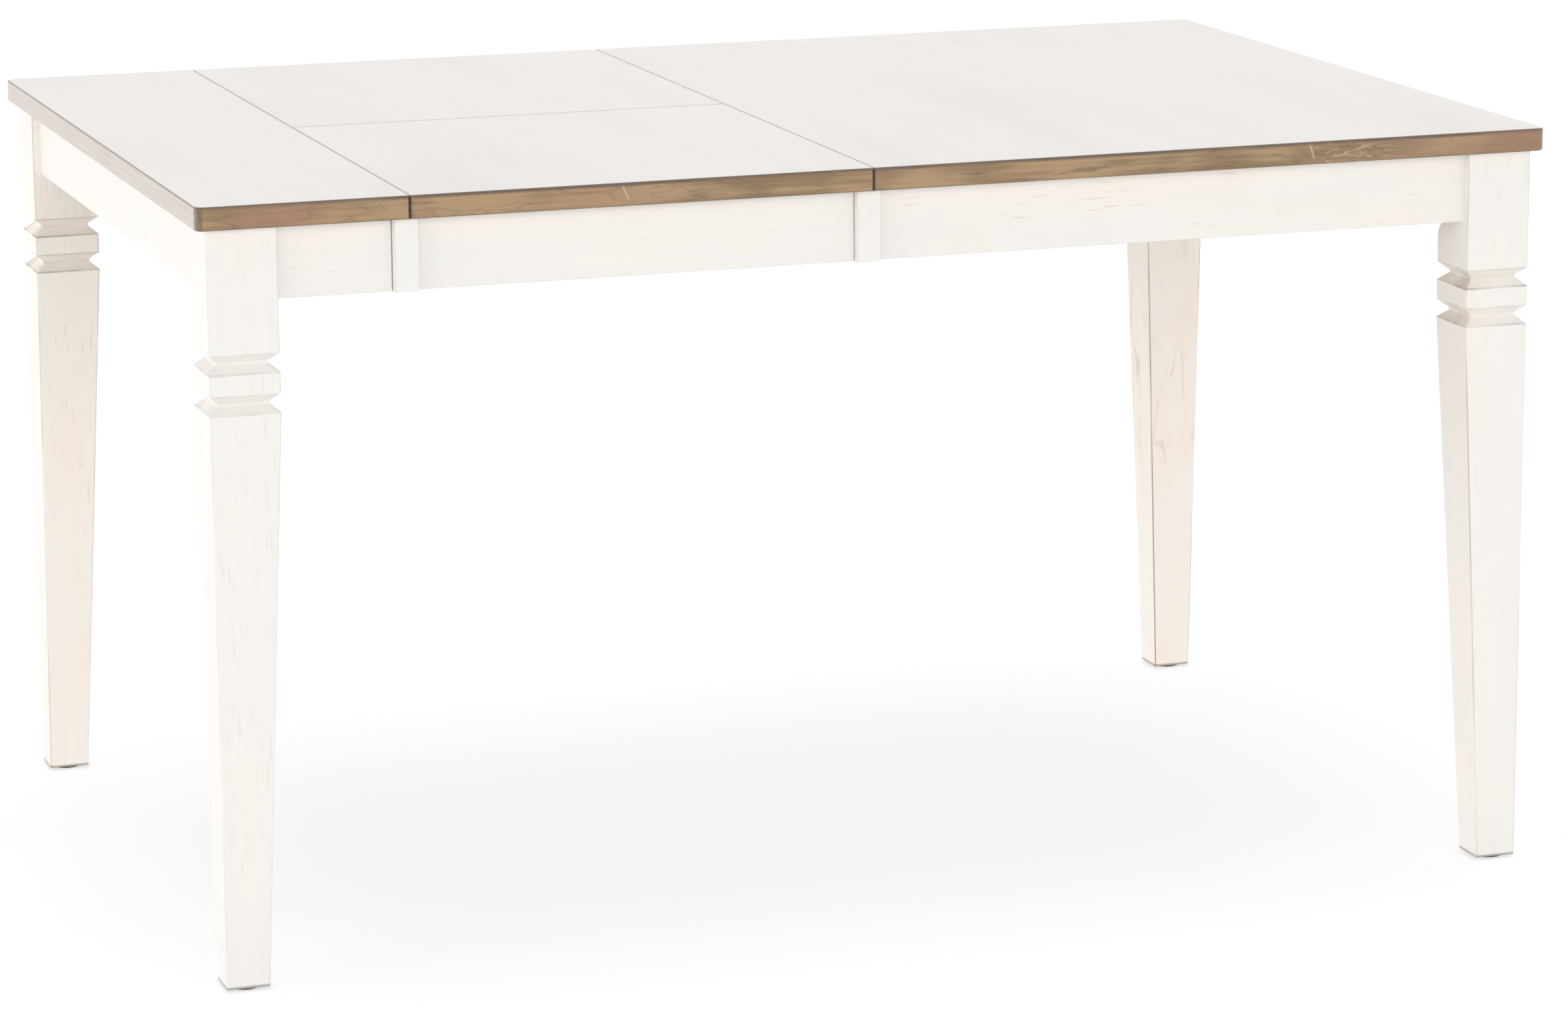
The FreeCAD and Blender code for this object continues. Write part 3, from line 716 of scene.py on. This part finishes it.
    def nicked(self, graph: FinishGraph, place: Socket, streak: Socket, colour: Socket) -> Socket:
        """Pale nicks among dark streaks near one end, and two short slanted scratches.

        Args:
            graph: Finish that is wired.
            place: Coordinates with the grain along X.
            streak: Fine noise of the stain.
            colour: Colour under the nicks.

        Returns:
            The colour with its nicks and scratches.
        """
        along, _, height = graph.parts("Object")
        dark = graph.times(graph.line(along, self.dark_at), graph.mark(streak, self.dark_streak))
        colour = graph.blend(dark, colour, self.knot)
        nicks = graph.mark(graph.noise(self.nick_noise, place), self.nicks)
        colour = graph.blend(graph.times(nicks, graph.line(along, self.nicks_at)), colour, self.nick)
        above = graph.mark(height, self.scratch_end)
        rise = graph.maths("SUBTRACT", height, self.edge_middle)
        for scratch, lean in self.scratches:
            slanted = graph.maths("ADD", along, graph.times(rise, lean))
            colour = graph.blend(graph.times(graph.line(slanted, scratch), above), colour, self.nick)
        return colour

    def in_seam(self, graph: FinishGraph, along: Socket, across: Socket) -> Socket:
        """Where a side faces into a seam between two parts of the top.

        Args:
            graph: Finish that is wired.
            along: How far the side faces along the table.
            across: How far it faces across the table.

        Returns:
            The seam's sides, from 0 to 1.
        """
        far, wide, _ = graph.sizes("Object")
        inner_end = graph.times(graph.mark(along, self.seam_side),
                                graph.left_by(graph.mark(far, self.past_seams)))
        inner_side = graph.times(graph.mark(across, self.seam_side),
                                 graph.left_by(graph.mark(wide, self.past_middle)))
        return graph.maths("MAXIMUM", inner_end, inner_side)


@dataclass(frozen=True)
class PlainWood:
    """Unpainted wood of the slides and of the hidden frame."""

    early: Colour
    late: Colour
    surface: Surface
    band_noise: Noise = Noise(1.8, 60.0)
    band: Mark = Mark(0.35, 0.68)
    fibre_noise: Noise = Noise(12.0, 700.0, 3.0)
    fibre: Mark = Mark(0.45, 0.8, 0.3)

    def make(self, name: str, grain: Grain, offset: Point) -> bpy.types.Material:
        """Material of one board.

        Args:
            name: Name of the material.
            grain: Way in which the board's grain runs.
            offset: Shift of the grain in metres.

        Returns:
            The material.
        """
        graph = FinishGraph(name, grain, offset)
        band = graph.mark(graph.noise(self.band_noise), self.band)
        fibre = graph.noise(self.fibre_noise)
        colour = graph.blend(band, self.early, self.late)
        colour = graph.blend(graph.mark(fibre, self.fibre), colour, self.late)
        return graph.finish(colour, self.surface, fibre, fibre)


@dataclass(frozen=True)
class HardFinish:
    """Metal or moulded plastic with a fine, cloudy surface."""

    plain: Colour
    dull: Colour
    surface: Surface
    metallic: float = 1.0
    cloud_noise: Noise = Noise(180.0, 180.0, 3.0)
    cloud: Mark = Mark(0.35, 0.7)
    grit_noise: Noise = Noise(2400.0, 2400.0)

    def make(self, name: str) -> bpy.types.Material:
        """Material of a fitting.

        Args:
            name: Name of the material.

        Returns:
            The material.
        """
        graph = FinishGraph(name)
        cloud = graph.noise(self.cloud_noise)
        grit = graph.noise(self.grit_noise)
        colour = graph.blend(graph.mark(cloud, self.cloud), self.plain, self.dull)
        graph.shader.inputs["Metallic"].default_value = self.metallic
        return graph.finish(colour, self.surface, cloud, grit)


WASH = Whitewash()
TOP = TopWood()
SLIDE = PlainWood(early=(0.66, 0.50, 0.33), late=(0.50, 0.35, 0.21), surface=Surface(0.45, 0.2, 0.00015))
FRAME = PlainWood(early=(0.74, 0.61, 0.44), late=(0.60, 0.45, 0.29), surface=Surface(0.6, 0.2, 0.00015))
ZINC = HardFinish(plain=(0.66, 0.66, 0.64), dull=(0.50, 0.50, 0.48), surface=Surface(0.36, 0.2, 0.00002))
BRASS = HardFinish(plain=(0.74, 0.58, 0.30), dull=(0.58, 0.43, 0.20), surface=Surface(0.34, 0.2, 0.00002))
GLIDE = HardFinish(plain=(0.045, 0.035, 0.03), dull=(0.12, 0.10, 0.085), surface=Surface(0.55, 0.2, 0.00003),
                   metallic=0.0, cloud_noise=Noise(300.0, 300.0, 3.0), cloud=Mark(0.5, 0.8),
                   grit_noise=Noise(2600.0, 2600.0, 1.0))


class Bench:
    """Modelling steps that the fasteners share."""

    @staticmethod
    def clear() -> None:
        """Deselect everything in object mode."""
        bpy.ops.object.select_all(action="DESELECT")

    @staticmethod
    def pick(piece: bpy.types.Object) -> None:
        """Select one piece alone and make it active.

        Args:
            piece: Piece to select.
        """
        Bench.clear()
        piece.select_set(True)
        bpy.context.view_layer.objects.active = piece

    @staticmethod
    def pick_faces(test: Callable[[Vector], bool]) -> None:
        """Select the faces in edit mode that pass a test.

        Args:
            test: Takes a face's normal.
        """
        bpy.ops.mesh.select_mode(type="FACE")
        bpy.ops.mesh.select_all(action="DESELECT")
        data = bpy.context.object.data
        mesh = bmesh.from_edit_mesh(data)
        for face in mesh.faces:
            if test(face.normal):
                face.select_set(True)
        bmesh.update_edit_mesh(data)

    @staticmethod
    def drawn_up(rise: float, centre: float, widen: float) -> None:
        """Draw the selected round face up by a rise, and widen it by a factor about its new centre."""
        bpy.ops.mesh.extrude_region_move(TRANSFORM_OT_translate={"value": (0.0, 0.0, rise)})
        bpy.ops.transform.resize(value=(widen, widen, 1.0), center_override=(0.0, 0.0, centre))

    @staticmethod
    def solids(node: str) -> list[Box]:
        """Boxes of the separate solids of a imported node.

        Args:
            node: Name of the node.

        Returns:
            Lowest and highest corner of each solid.
        """
        copy = bpy.data.objects.new(node + "_measured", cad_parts[node].data.copy())
        bpy.context.collection.objects.link(copy)
        Bench.pick(copy)
        bpy.ops.object.mode_set(mode="EDIT")
        bpy.ops.mesh.select_all(action="SELECT")
        bpy.ops.mesh.remove_doubles(threshold=MERGE_DISTANCE)
        bpy.ops.mesh.separate(type="LOOSE")
        bpy.ops.object.mode_set(mode="OBJECT")
        boxes = []
        for solid in list(bpy.context.selected_objects):
            axes = list(zip(*solid.bound_box))
            boxes.append((Vector([min(axis) for axis in axes]), Vector([max(axis) for axis in axes])))
        bpy.ops.object.delete()
        return boxes

    @staticmethod
    def joined(name: str, model: bpy.types.Object, places: list[Matrix]) -> bpy.types.Object:
        """Copies of a model at several places, as one piece.

        Args:
            name: Name of the piece.
            model: Model that is copied and then removed.
            places: Where each copy goes.

        Returns:
            The piece.
        """
        Bench.clear()
        for place in places:
            copy = model.copy()
            copy.data = model.data.copy()
            copy.data.transform(place)
            bpy.context.collection.objects.link(copy)
            copy.select_set(True)
            bpy.context.view_layer.objects.active = copy
        bpy.ops.object.join()
        bpy.data.objects.remove(model)
        piece = bpy.context.object
        piece.name = name
        piece.data.name = name
        return piece


class Fastener:
    """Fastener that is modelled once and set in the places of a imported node's plain ones."""

    ending: str

    def build(self, box: Box) -> bpy.types.Object:
        """Model one fastener for the box of a plain one."""
        raise NotImplementedError

    def place(self, box: Box) -> Matrix:
        """Where a model goes, from the box of a plain one."""
        raise NotImplementedError

    def replace(self, node: str, body: str, material: bpy.types.Material) -> None:
        """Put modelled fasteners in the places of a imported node's.

        Args:
            node: Name of the node.
            body: Body that carries it.
            material: Finish of the fasteners.
        """
        boxes = Bench.solids(node)
        places = [self.place(box) for box in boxes]
        piece = Bench.joined(node + self.ending, self.build(boxes[0]), places)
        piece.data.materials.append(material)
        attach(piece, body)
        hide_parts(node)
        LOG.info("%s stands for %s, %d in all", piece.name, node, len(places))


@dataclass(frozen=True)
class PanScrew(Fastener):
    """Wood screw that points up, with a domed head and a cross recess."""

    ending: str = "_cross_recess"
    head_radius: float = 0.0042
    head_height: float = 0.0026
    dome: float = 0.0016
    dome_steps: int = 5
    dome_profile: float = 0.6
    core_radius: float = 0.0013
    thread_radius: float = 0.0019
    pitch: float = 0.0016
    tip: float = 0.003
    tip_width: float = 0.12
    recess_span: float = 0.0046
    recess_width: float = 0.0009
    recess_depth: float = 0.0014
    sides: int = 32
    smooth_angle: float = 35.0

    def build(self, box: Box) -> bpy.types.Object:
        """Model one screw with its head's lower side at the origin.

        Args:
            box: Box of a plain screw, which gives the length.

        Returns:
            The model.
        """
        length = box[1].z - box[0].z
        Bench.clear()
        bpy.ops.mesh.primitive_cylinder_add(vertices=self.sides, radius=self.head_radius,
                                            depth=self.head_height,
                                            location=(0.0, 0.0, self.head_height / 2))
        bpy.ops.object.transform_apply(location=True, rotation=True, scale=True)
        screw = bpy.context.object
        bpy.ops.object.mode_set(mode="EDIT")
        Bench.pick_faces(lambda normal: normal.z < -FACING)
        bpy.ops.mesh.bevel(offset=self.dome, segments=self.dome_steps, profile=self.dome_profile,
                           affect="EDGES")
        Bench.pick_faces(lambda normal: normal.z > FACING)
        bpy.ops.mesh.inset(thickness=self.head_radius - self.core_radius)
        height = self.head_height
        while height + self.pitch < length - self.tip:
            height += self.pitch
            Bench.drawn_up(self.pitch / 2, height - self.pitch / 2, self.thread_radius / self.core_radius)
            Bench.drawn_up(self.pitch / 2, height, self.core_radius / self.thread_radius)
        Bench.drawn_up(length - height, length, self.tip_width)
        bpy.ops.object.mode_set(mode="OBJECT")
        for turn in (0.0, math.pi / 2):
            self.cut_slot(screw, turn)
        Bench.pick(screw)
        bpy.ops.object.shade_smooth_by_angle(angle=math.radians(self.smooth_angle))
        return screw

    def cut_slot(self, screw: bpy.types.Object, turn: float) -> None:
        """Cut one arm of the cross from a screw's head.

        Args:
            screw: Screw to cut.
            turn: Turn of the arm about the screw.
        """
        Bench.clear()
        bpy.ops.mesh.primitive_cube_add(size=1.0, rotation=(0.0, 0.0, turn))
        cutter = bpy.context.object
        cutter.scale = (self.recess_span, self.recess_width, 2.0 * self.recess_depth)
        bpy.ops.object.transform_apply(location=True, rotation=True, scale=True)
        cut = screw.modifiers.new("cross", "BOOLEAN")
        cut.operation = "DIFFERENCE"
        cut.object = cutter
        Bench.pick(screw)
        bpy.ops.object.modifier_apply(modifier=cut.name)
        bpy.data.objects.remove(cutter)

    def place(self, box: Box) -> Matrix:
        """Upright on the lower side of a plain screw's head."""
        low, high = box
        return Matrix.Translation(((low.x + high.x) / 2, (low.y + high.y) / 2, low.z))


@dataclass(frozen=True)
class HangerBolt(Fastener):
    """Bolt with wood thread in the leg, a plain middle, and machine thread under the nut."""

    ending: str = "_threaded"
    radius: float = 0.004
    half_length: float = 0.036
    plain_start: float = -0.004
    plain_end: float = 0.018
    wood_pitch: float = 0.003
    machine_pitch: float = 0.00125
    core: float = 0.82
    wood_end: float = 0.6
    nut_end: float = 0.9
    thread_stop: float = 0.001
    sides: int = 28
    smooth_angle: float = 30.0

    def build(self, box: Box) -> bpy.types.Object:
        """Model one bolt upright, with its middle at the origin and its nut end on top.

        Args:
            box: Box of a plain bolt, which has the same length; not used.

        Returns:
            The model.
        """
        Bench.clear()
        start = -self.half_length
        tip_radius = self.radius * self.core * self.wood_end
        bpy.ops.mesh.primitive_circle_add(vertices=self.sides, radius=tip_radius, fill_type="NGON",
                                          location=(0.0, 0.0, start))
        bpy.ops.object.transform_apply(location=True, rotation=True, scale=True)
        bolt = bpy.context.object
        bpy.ops.object.mode_set(mode="EDIT")
        bpy.ops.mesh.select_all(action="SELECT")
        height = start + self.wood_pitch
        Bench.drawn_up(self.wood_pitch, height, 1.0 / self.wood_end)
        height = self.thread(height, self.plain_start, self.wood_pitch) + self.wood_pitch / 2
        Bench.drawn_up(self.wood_pitch / 2, height, 1.0 / self.core)
        Bench.drawn_up(self.plain_end - height, self.plain_end, 1.0)
        height = self.plain_end + self.machine_pitch / 2
        Bench.drawn_up(self.machine_pitch / 2, height, self.core)
        height = self.thread(height, self.half_length - self.thread_stop, self.machine_pitch)
        Bench.drawn_up(self.half_length - height, self.half_length, self.nut_end)
        bpy.ops.mesh.select_all(action="SELECT")
        bpy.ops.mesh.normals_make_consistent(inside=False)
        bpy.ops.object.mode_set(mode="OBJECT")
        bpy.ops.object.shade_smooth_by_angle(angle=math.radians(self.smooth_angle))
        return bolt

    def thread(self, start: float, end: float, pitch: float) -> float:
        """Draw ridges up a bolt in edit mode.

        Args:
            start: Height of the selected face.
            end: Height that the last ridge stays under.
            pitch: Height of one ridge.

        Returns:
            Height that is reached.
        """
        height = start
        while height + pitch < end:
            height += pitch
            Bench.drawn_up(pitch / 2, height - pitch / 2, 1.0 / self.core)
            Bench.drawn_up(pitch / 2, height, self.core)
        return height

    def place(self, box: Box) -> Matrix:
        """Through the middle of a plain bolt, with the nut end towards the table's middle.

        Args:
            box: Box of the plain bolt.

        Returns:
            The place and the turn.
        """
        middle = (box[0] + box[1]) / 2
        inward = math.atan2(-math.copysign(1.0, middle.y), -math.copysign(1.0, middle.x))
        turn = Matrix.Rotation(inward, 4, "Z") @ Matrix.Rotation(math.pi / 2, 4, "Y")
        return Matrix.Translation(middle) @ turn


@dataclass
class SubAssembly:
    """Shared steps of the table's sub-assemblies."""

    first_board: int

    def paint(self, node: str, material: bpy.types.Material) -> None:
        """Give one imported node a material.

        Args:
            node: Name of the node.
            material: Its material.
        """
        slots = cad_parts[node].data.materials
        slots.clear()
        slots.append(material)
        LOG.info("%s takes %s", node, material.name)

    def shift(self, number: int) -> Point:
        """Shift of the grain, in metres, that differs from board to board."""
        return tuple(step * (self.first_board + number) for step in BOARD_SHIFT)

    def wash(self, board: Board) -> None:
        """Whitewash one board."""
        self.paint(board.node, WASH.make(board, self.shift(board.number)))


@dataclass
class Section(SubAssembly):
    """Part of the table that stands on two legs, with its top, frame, slides and fasteners."""

    body: str
    part: str
    corners: float
    boards: tuple[Board, ...]
    first_slide: int
    slides: tuple[str, ...]
    frames: tuple[str, ...]
    screws: tuple[str, ...]
    hinges: tuple[str, ...] = ()
    screw: PanScrew = PanScrew()
    bolt: HangerBolt = HangerBolt()

    def build(self) -> None:
        """Model the screws and the hanger bolts."""
        zinc = ZINC.make(self.part + "_fastener_zinc")
        for node in self.screws:
            self.screw.replace(node, self.body, zinc)
        self.bolt.replace(self.part + "_hanger_bolts", self.body, zinc)

    def dress(self) -> None:
        """Finish the boards and the fittings."""
        self.paint(self.part + "_top", TOP.make(self.part + "_top_wood", self.shift(0), self.corners))
        for board in self.boards:
            self.wash(board)
        number = self.first_slide
        for wood, grain, nodes in ((SLIDE, Grain.ALONG_TABLE, self.slides),
                                   (FRAME, Grain.ACROSS_TABLE, self.frames)):
            for node in nodes:
                self.paint(node, wood.make(node + "_wood", grain, self.shift(number)))
                number += 1
        zinc = ZINC.make(self.part + "_fitting_zinc")
        for node in (self.part + "_bolt_nuts", self.part + "_top_clips", *self.hinges):
            self.paint(node, zinc)
        self.paint(self.part + "_glides", GLIDE.make(self.part + "_glide_plastic"))


@dataclass
class MainSection(Section):
    """Long fixed part of the table: its top, frame, guide rails and leaf store."""

    first_board: int = 1
    body: str = "main_section"
    part: str = "main"
    corners: float = 0.2
    boards: tuple[Board, ...] = (
        Board("front_main_leg", 1, Grain.UPRIGHT, Coat.LIGHT, Wear(0.25, 0.2, 0.6)),
        Board("rear_main_leg", 2, Grain.UPRIGHT, Coat.RUBBED, Wear(0.6, 0.9, 1.0, 0.36)),
        Board("front_main_apron", 14, Grain.ALONG_TABLE, Coat.LIGHT, Wear(0.7, 0.1, 0.4)),
        Board("rear_main_apron", 4, Grain.ALONG_TABLE, Coat.LIGHT, Wear(0.8, 0.3, 0.5)),
        Board("main_end_apron", 5, Grain.ACROSS_TABLE, Coat.LIGHT, Wear(0.8, 0.4, 0.5)),
        Board("front_main_stile", 6, Grain.UPRIGHT, Coat.FULL, Wear(0.3, 0.0, 0.2)),
        Board("rear_main_stile", 7, Grain.UPRIGHT, Coat.FULL, Wear(0.3, 0.0, 0.2)),
    )
    first_slide: int = 8
    slides: tuple[str, ...] = ("front_guide_rail", "rear_guide_rail")
    frames: tuple[str, ...] = ("main_corner_blocks", "storage_battens", "main_leaf_ledge")
    screws: tuple[str, ...] = ("main_clip_screws", "guide_rail_screws", "batten_screws")


@dataclass
class EndSection(Section):
    """Short part of the table that slides out: its top, frame, runners and hinge bases."""

    first_board: int = 21
    body: str = "end_section"
    part: str = "end"
    corners: float = 0.7
    boards: tuple[Board, ...] = (
        Board("front_end_leg", 9, Grain.UPRIGHT, Coat.FULL, Wear(0.35, 0.25, 0.2)),
        Board("rear_end_leg", 2, Grain.UPRIGHT, Coat.THIN, Wear(0.5, 0.3, 0.55)),
        Board("front_end_side_apron", 3, Grain.ALONG_TABLE, Coat.FULL, Wear(0.3, 0.0, 0.35)),
        Board("rear_end_side_apron", 4, Grain.ALONG_TABLE, Coat.LIGHT, Wear(0.6, 0.2, 0.5)),
        Board("end_apron", 5, Grain.ACROSS_TABLE, Coat.FULL, Wear(0.4, 0.1, 0.35)),
    )
    first_slide: int = 6
    slides: tuple[str, ...] = ("front_runner", "rear_runner")
    frames: tuple[str, ...] = ("end_corner_blocks", "end_cross_rail", "end_leaf_ledges")
    screws: tuple[str, ...] = ("end_clip_screws", "runner_screws", "turn_button_screws")
    hinges: tuple[str, ...] = ("front_hinge_bases", "rear_hinge_bases",
                               "front_hinge_pins", "rear_hinge_pins")


@dataclass
class LeafHalf(SubAssembly):
    """One half of the folding leaf, with its hinge barrels and its side's leaf apron and turn button."""

    side: str
    coat: Coat
    apron_wear: Wear = Wear(0.12, 0.0, 0.35)
    stile_wear: Wear = Wear(0.3, 0.0, 0.25)

    def dress(self) -> None:
        """Finish the half, its barrels, its apron and its turn button."""
        half = self.side + "_leaf_half"
        self.paint(half, TOP.make(half + "_wood", self.shift(0)))
        self.paint(self.side + "_leaf_barrels", BRASS.make(self.side + "_barrel_brass"))
        self.wash(Board(self.side + "_leaf_apron", 1, Grain.ALONG_TABLE, self.coat, self.apron_wear))
        self.wash(Board(self.side + "_leaf_stile", 2, Grain.UPRIGHT, self.coat, self.stile_wear))
        self.paint(self.side + "_hinge_brackets", ZINC.make(self.side + "_bracket_zinc"))
        button = self.side + "_turn_button"
        self.paint(button, FRAME.make(button + "_wood", Grain.ALONG_TABLE, self.shift(3)))


@dataclass(frozen=True)
class Lamp:
    """Square soft lamp: its name, its place and side in metres, and its power in watts."""

    name: str
    place: Point
    side: float
    watts: float


@dataclass
class Studio:
    """White floor, soft lamps and the camera of the photograph."""

    camera_place: Point = (-1.73595, -5.21448, 1.54518)
    camera_azimuth: float = -18.7806
    camera_elevation: float = 12.471
    camera_roll: float = -0.3658
    lens: float = 122.911
    sensor: float = 36.0
    sight: float = 200.0
    floor_half: float = 40.0
    floor_lighting: Colour = (0.92, 0.92, 0.92)
    floor_seen: Colour = (0.51, 0.52, 0.54)
    # glow 0.60 within 0.6 m of the middle, rising to 0.66 beyond 3.5 m: painted shade round the table,
    # painted light on the far floor
    floor_glow_and_painted_shade: Mark = Mark(0.6, 3.5, 0.06, 0.60)
    horizon_light: float = 2.4
    zenith_light: float = 0.2
    light_between: tuple[float, float] = (0.22, 0.54)
    lamps: tuple[Lamp, ...] = (
        Lamp("overhead_softbox", (0.2, 0.4, 9.0), 8.0, 330.0),
        Lamp("left_softbox", (-5.4, -1.5, 1.1), 3.0, 36.0),
    )
    lamp_aim: Point = (0.0, 0.0, 0.4)

    def build(self) -> None:
        """Make the floor, the world, the lamps and the camera."""
        self.build_floor()
        self.build_world()
        for lamp in self.lamps:
            self.build_lamp(lamp)
        self.build_camera()

    def build_floor(self) -> None:
        """White floor that keeps the table's shadow, glowing less near the table as painted shade, clear when
        it is looked at from below.
        """
        Bench.clear()
        bpy.ops.mesh.primitive_plane_add(size=2 * self.floor_half, location=(0.0, 0.0, 0.0))
        floor = bpy.context.object
        floor.name = "floor"
        material = bpy.data.materials.new("white_floor")
        material.use_nodes = True
        graph = NodeGraph(material.node_tree)
        away = graph.vectors("LENGTH", graph.add("TexCoord").outputs["Object"])
        # painted shade: the floor glows less near the table
        glow_and_painted_shade = graph.add("Emission", Strength=graph.mark(away.outputs["Value"], self.floor_glow_and_painted_shade))
        soft = graph.add("BsdfDiffuse", Color=self.floor_seen)
        seen = graph.add("AddShader")
        graph.feed(seen.inputs[0], soft.outputs[0])
        graph.feed(seen.inputs[1], glow_and_painted_shade.outputs[0])
        plain = graph.add("BsdfDiffuse", Color=self.floor_lighting)
        above = graph.choice(graph.looked_at(), plain.outputs[0], seen.outputs[0])
        from_below = graph.add("NewGeometry").outputs["Backfacing"]
        shown = graph.choice(from_below, above, graph.add("BsdfTransparent").outputs[0])
        graph.add("OutputMaterial", Surface=shown)
        floor.data.materials.append(material)

    def build_world(self) -> None:
        """White surroundings that light mostly from the sides, so that the rear legs get light too."""
        world = bpy.data.worlds.new("studio")
        bpy.context.scene.world = world
        world.use_nodes = True
        graph = NodeGraph(world.node_tree)
        parts = graph.add("SeparateXYZ", Vector=graph.add("TexCoord").outputs["Generated"])
        fade = Mark(*self.light_between, self.zenith_light - self.horizon_light, self.horizon_light)
        light = graph.add("Background", Color=WHITE, Strength=graph.mark(parts.outputs[2], fade))
        seen = graph.add("Background", Color=WHITE)
        shown = graph.choice(graph.looked_at(), light.outputs[0], seen.outputs[0])
        graph.add("OutputWorld", Surface=shown)

    def build_lamp(self, lamp: Lamp) -> None:
        """Soft lamp that looks at the table.

        Args:
            lamp: Lamp to make.
        """
        bpy.ops.object.light_add(type="AREA", location=lamp.place)
        light = bpy.context.object
        light.name = lamp.name
        light.data.size = lamp.side
        light.data.energy = lamp.watts
        light.visible_glossy = False
        look = Vector(self.lamp_aim) - Vector(lamp.place)
        light.rotation_euler = look.to_track_quat("-Z", "Y").to_euler()

    def build_camera(self) -> None:
        """Camera at the photograph's place, angle and lens."""
        azimuth = math.radians(self.camera_azimuth)
        elevation = math.radians(self.camera_elevation)
        back = Vector((math.sin(azimuth) * math.cos(elevation), -math.cos(azimuth) * math.cos(elevation),
                       math.sin(elevation)))
        right = Vector((0.0, 0.0, 1.0)).cross(back).normalized()
        level = Matrix((right, back.cross(right), back)).transposed()
        turn = level @ Matrix.Rotation(math.radians(self.camera_roll), 3, "Z")
        bpy.ops.object.camera_add(location=self.camera_place, rotation=turn.to_euler())
        camera = bpy.context.object
        camera.data.sensor_width = self.sensor
        camera.data.lens = self.lens
        camera.data.clip_end = self.sight
        bpy.context.scene.camera = camera


def main() -> None:
    """Build the studio and the table's sub-assemblies."""
    logging.basicConfig(level=logging.INFO, format="%(name)s: %(message)s")
    Studio().build()
    for section in (MainSection(), EndSection()):
        section.build()
        section.dress()
    for half in (LeafHalf(43, "front", Coat.FULL), LeafHalf(51, "rear", Coat.LIGHT)):
        half.dress()
    bpy.context.scene.view_settings.view_transform = "Standard"


if __name__ == "__main__":
    main()
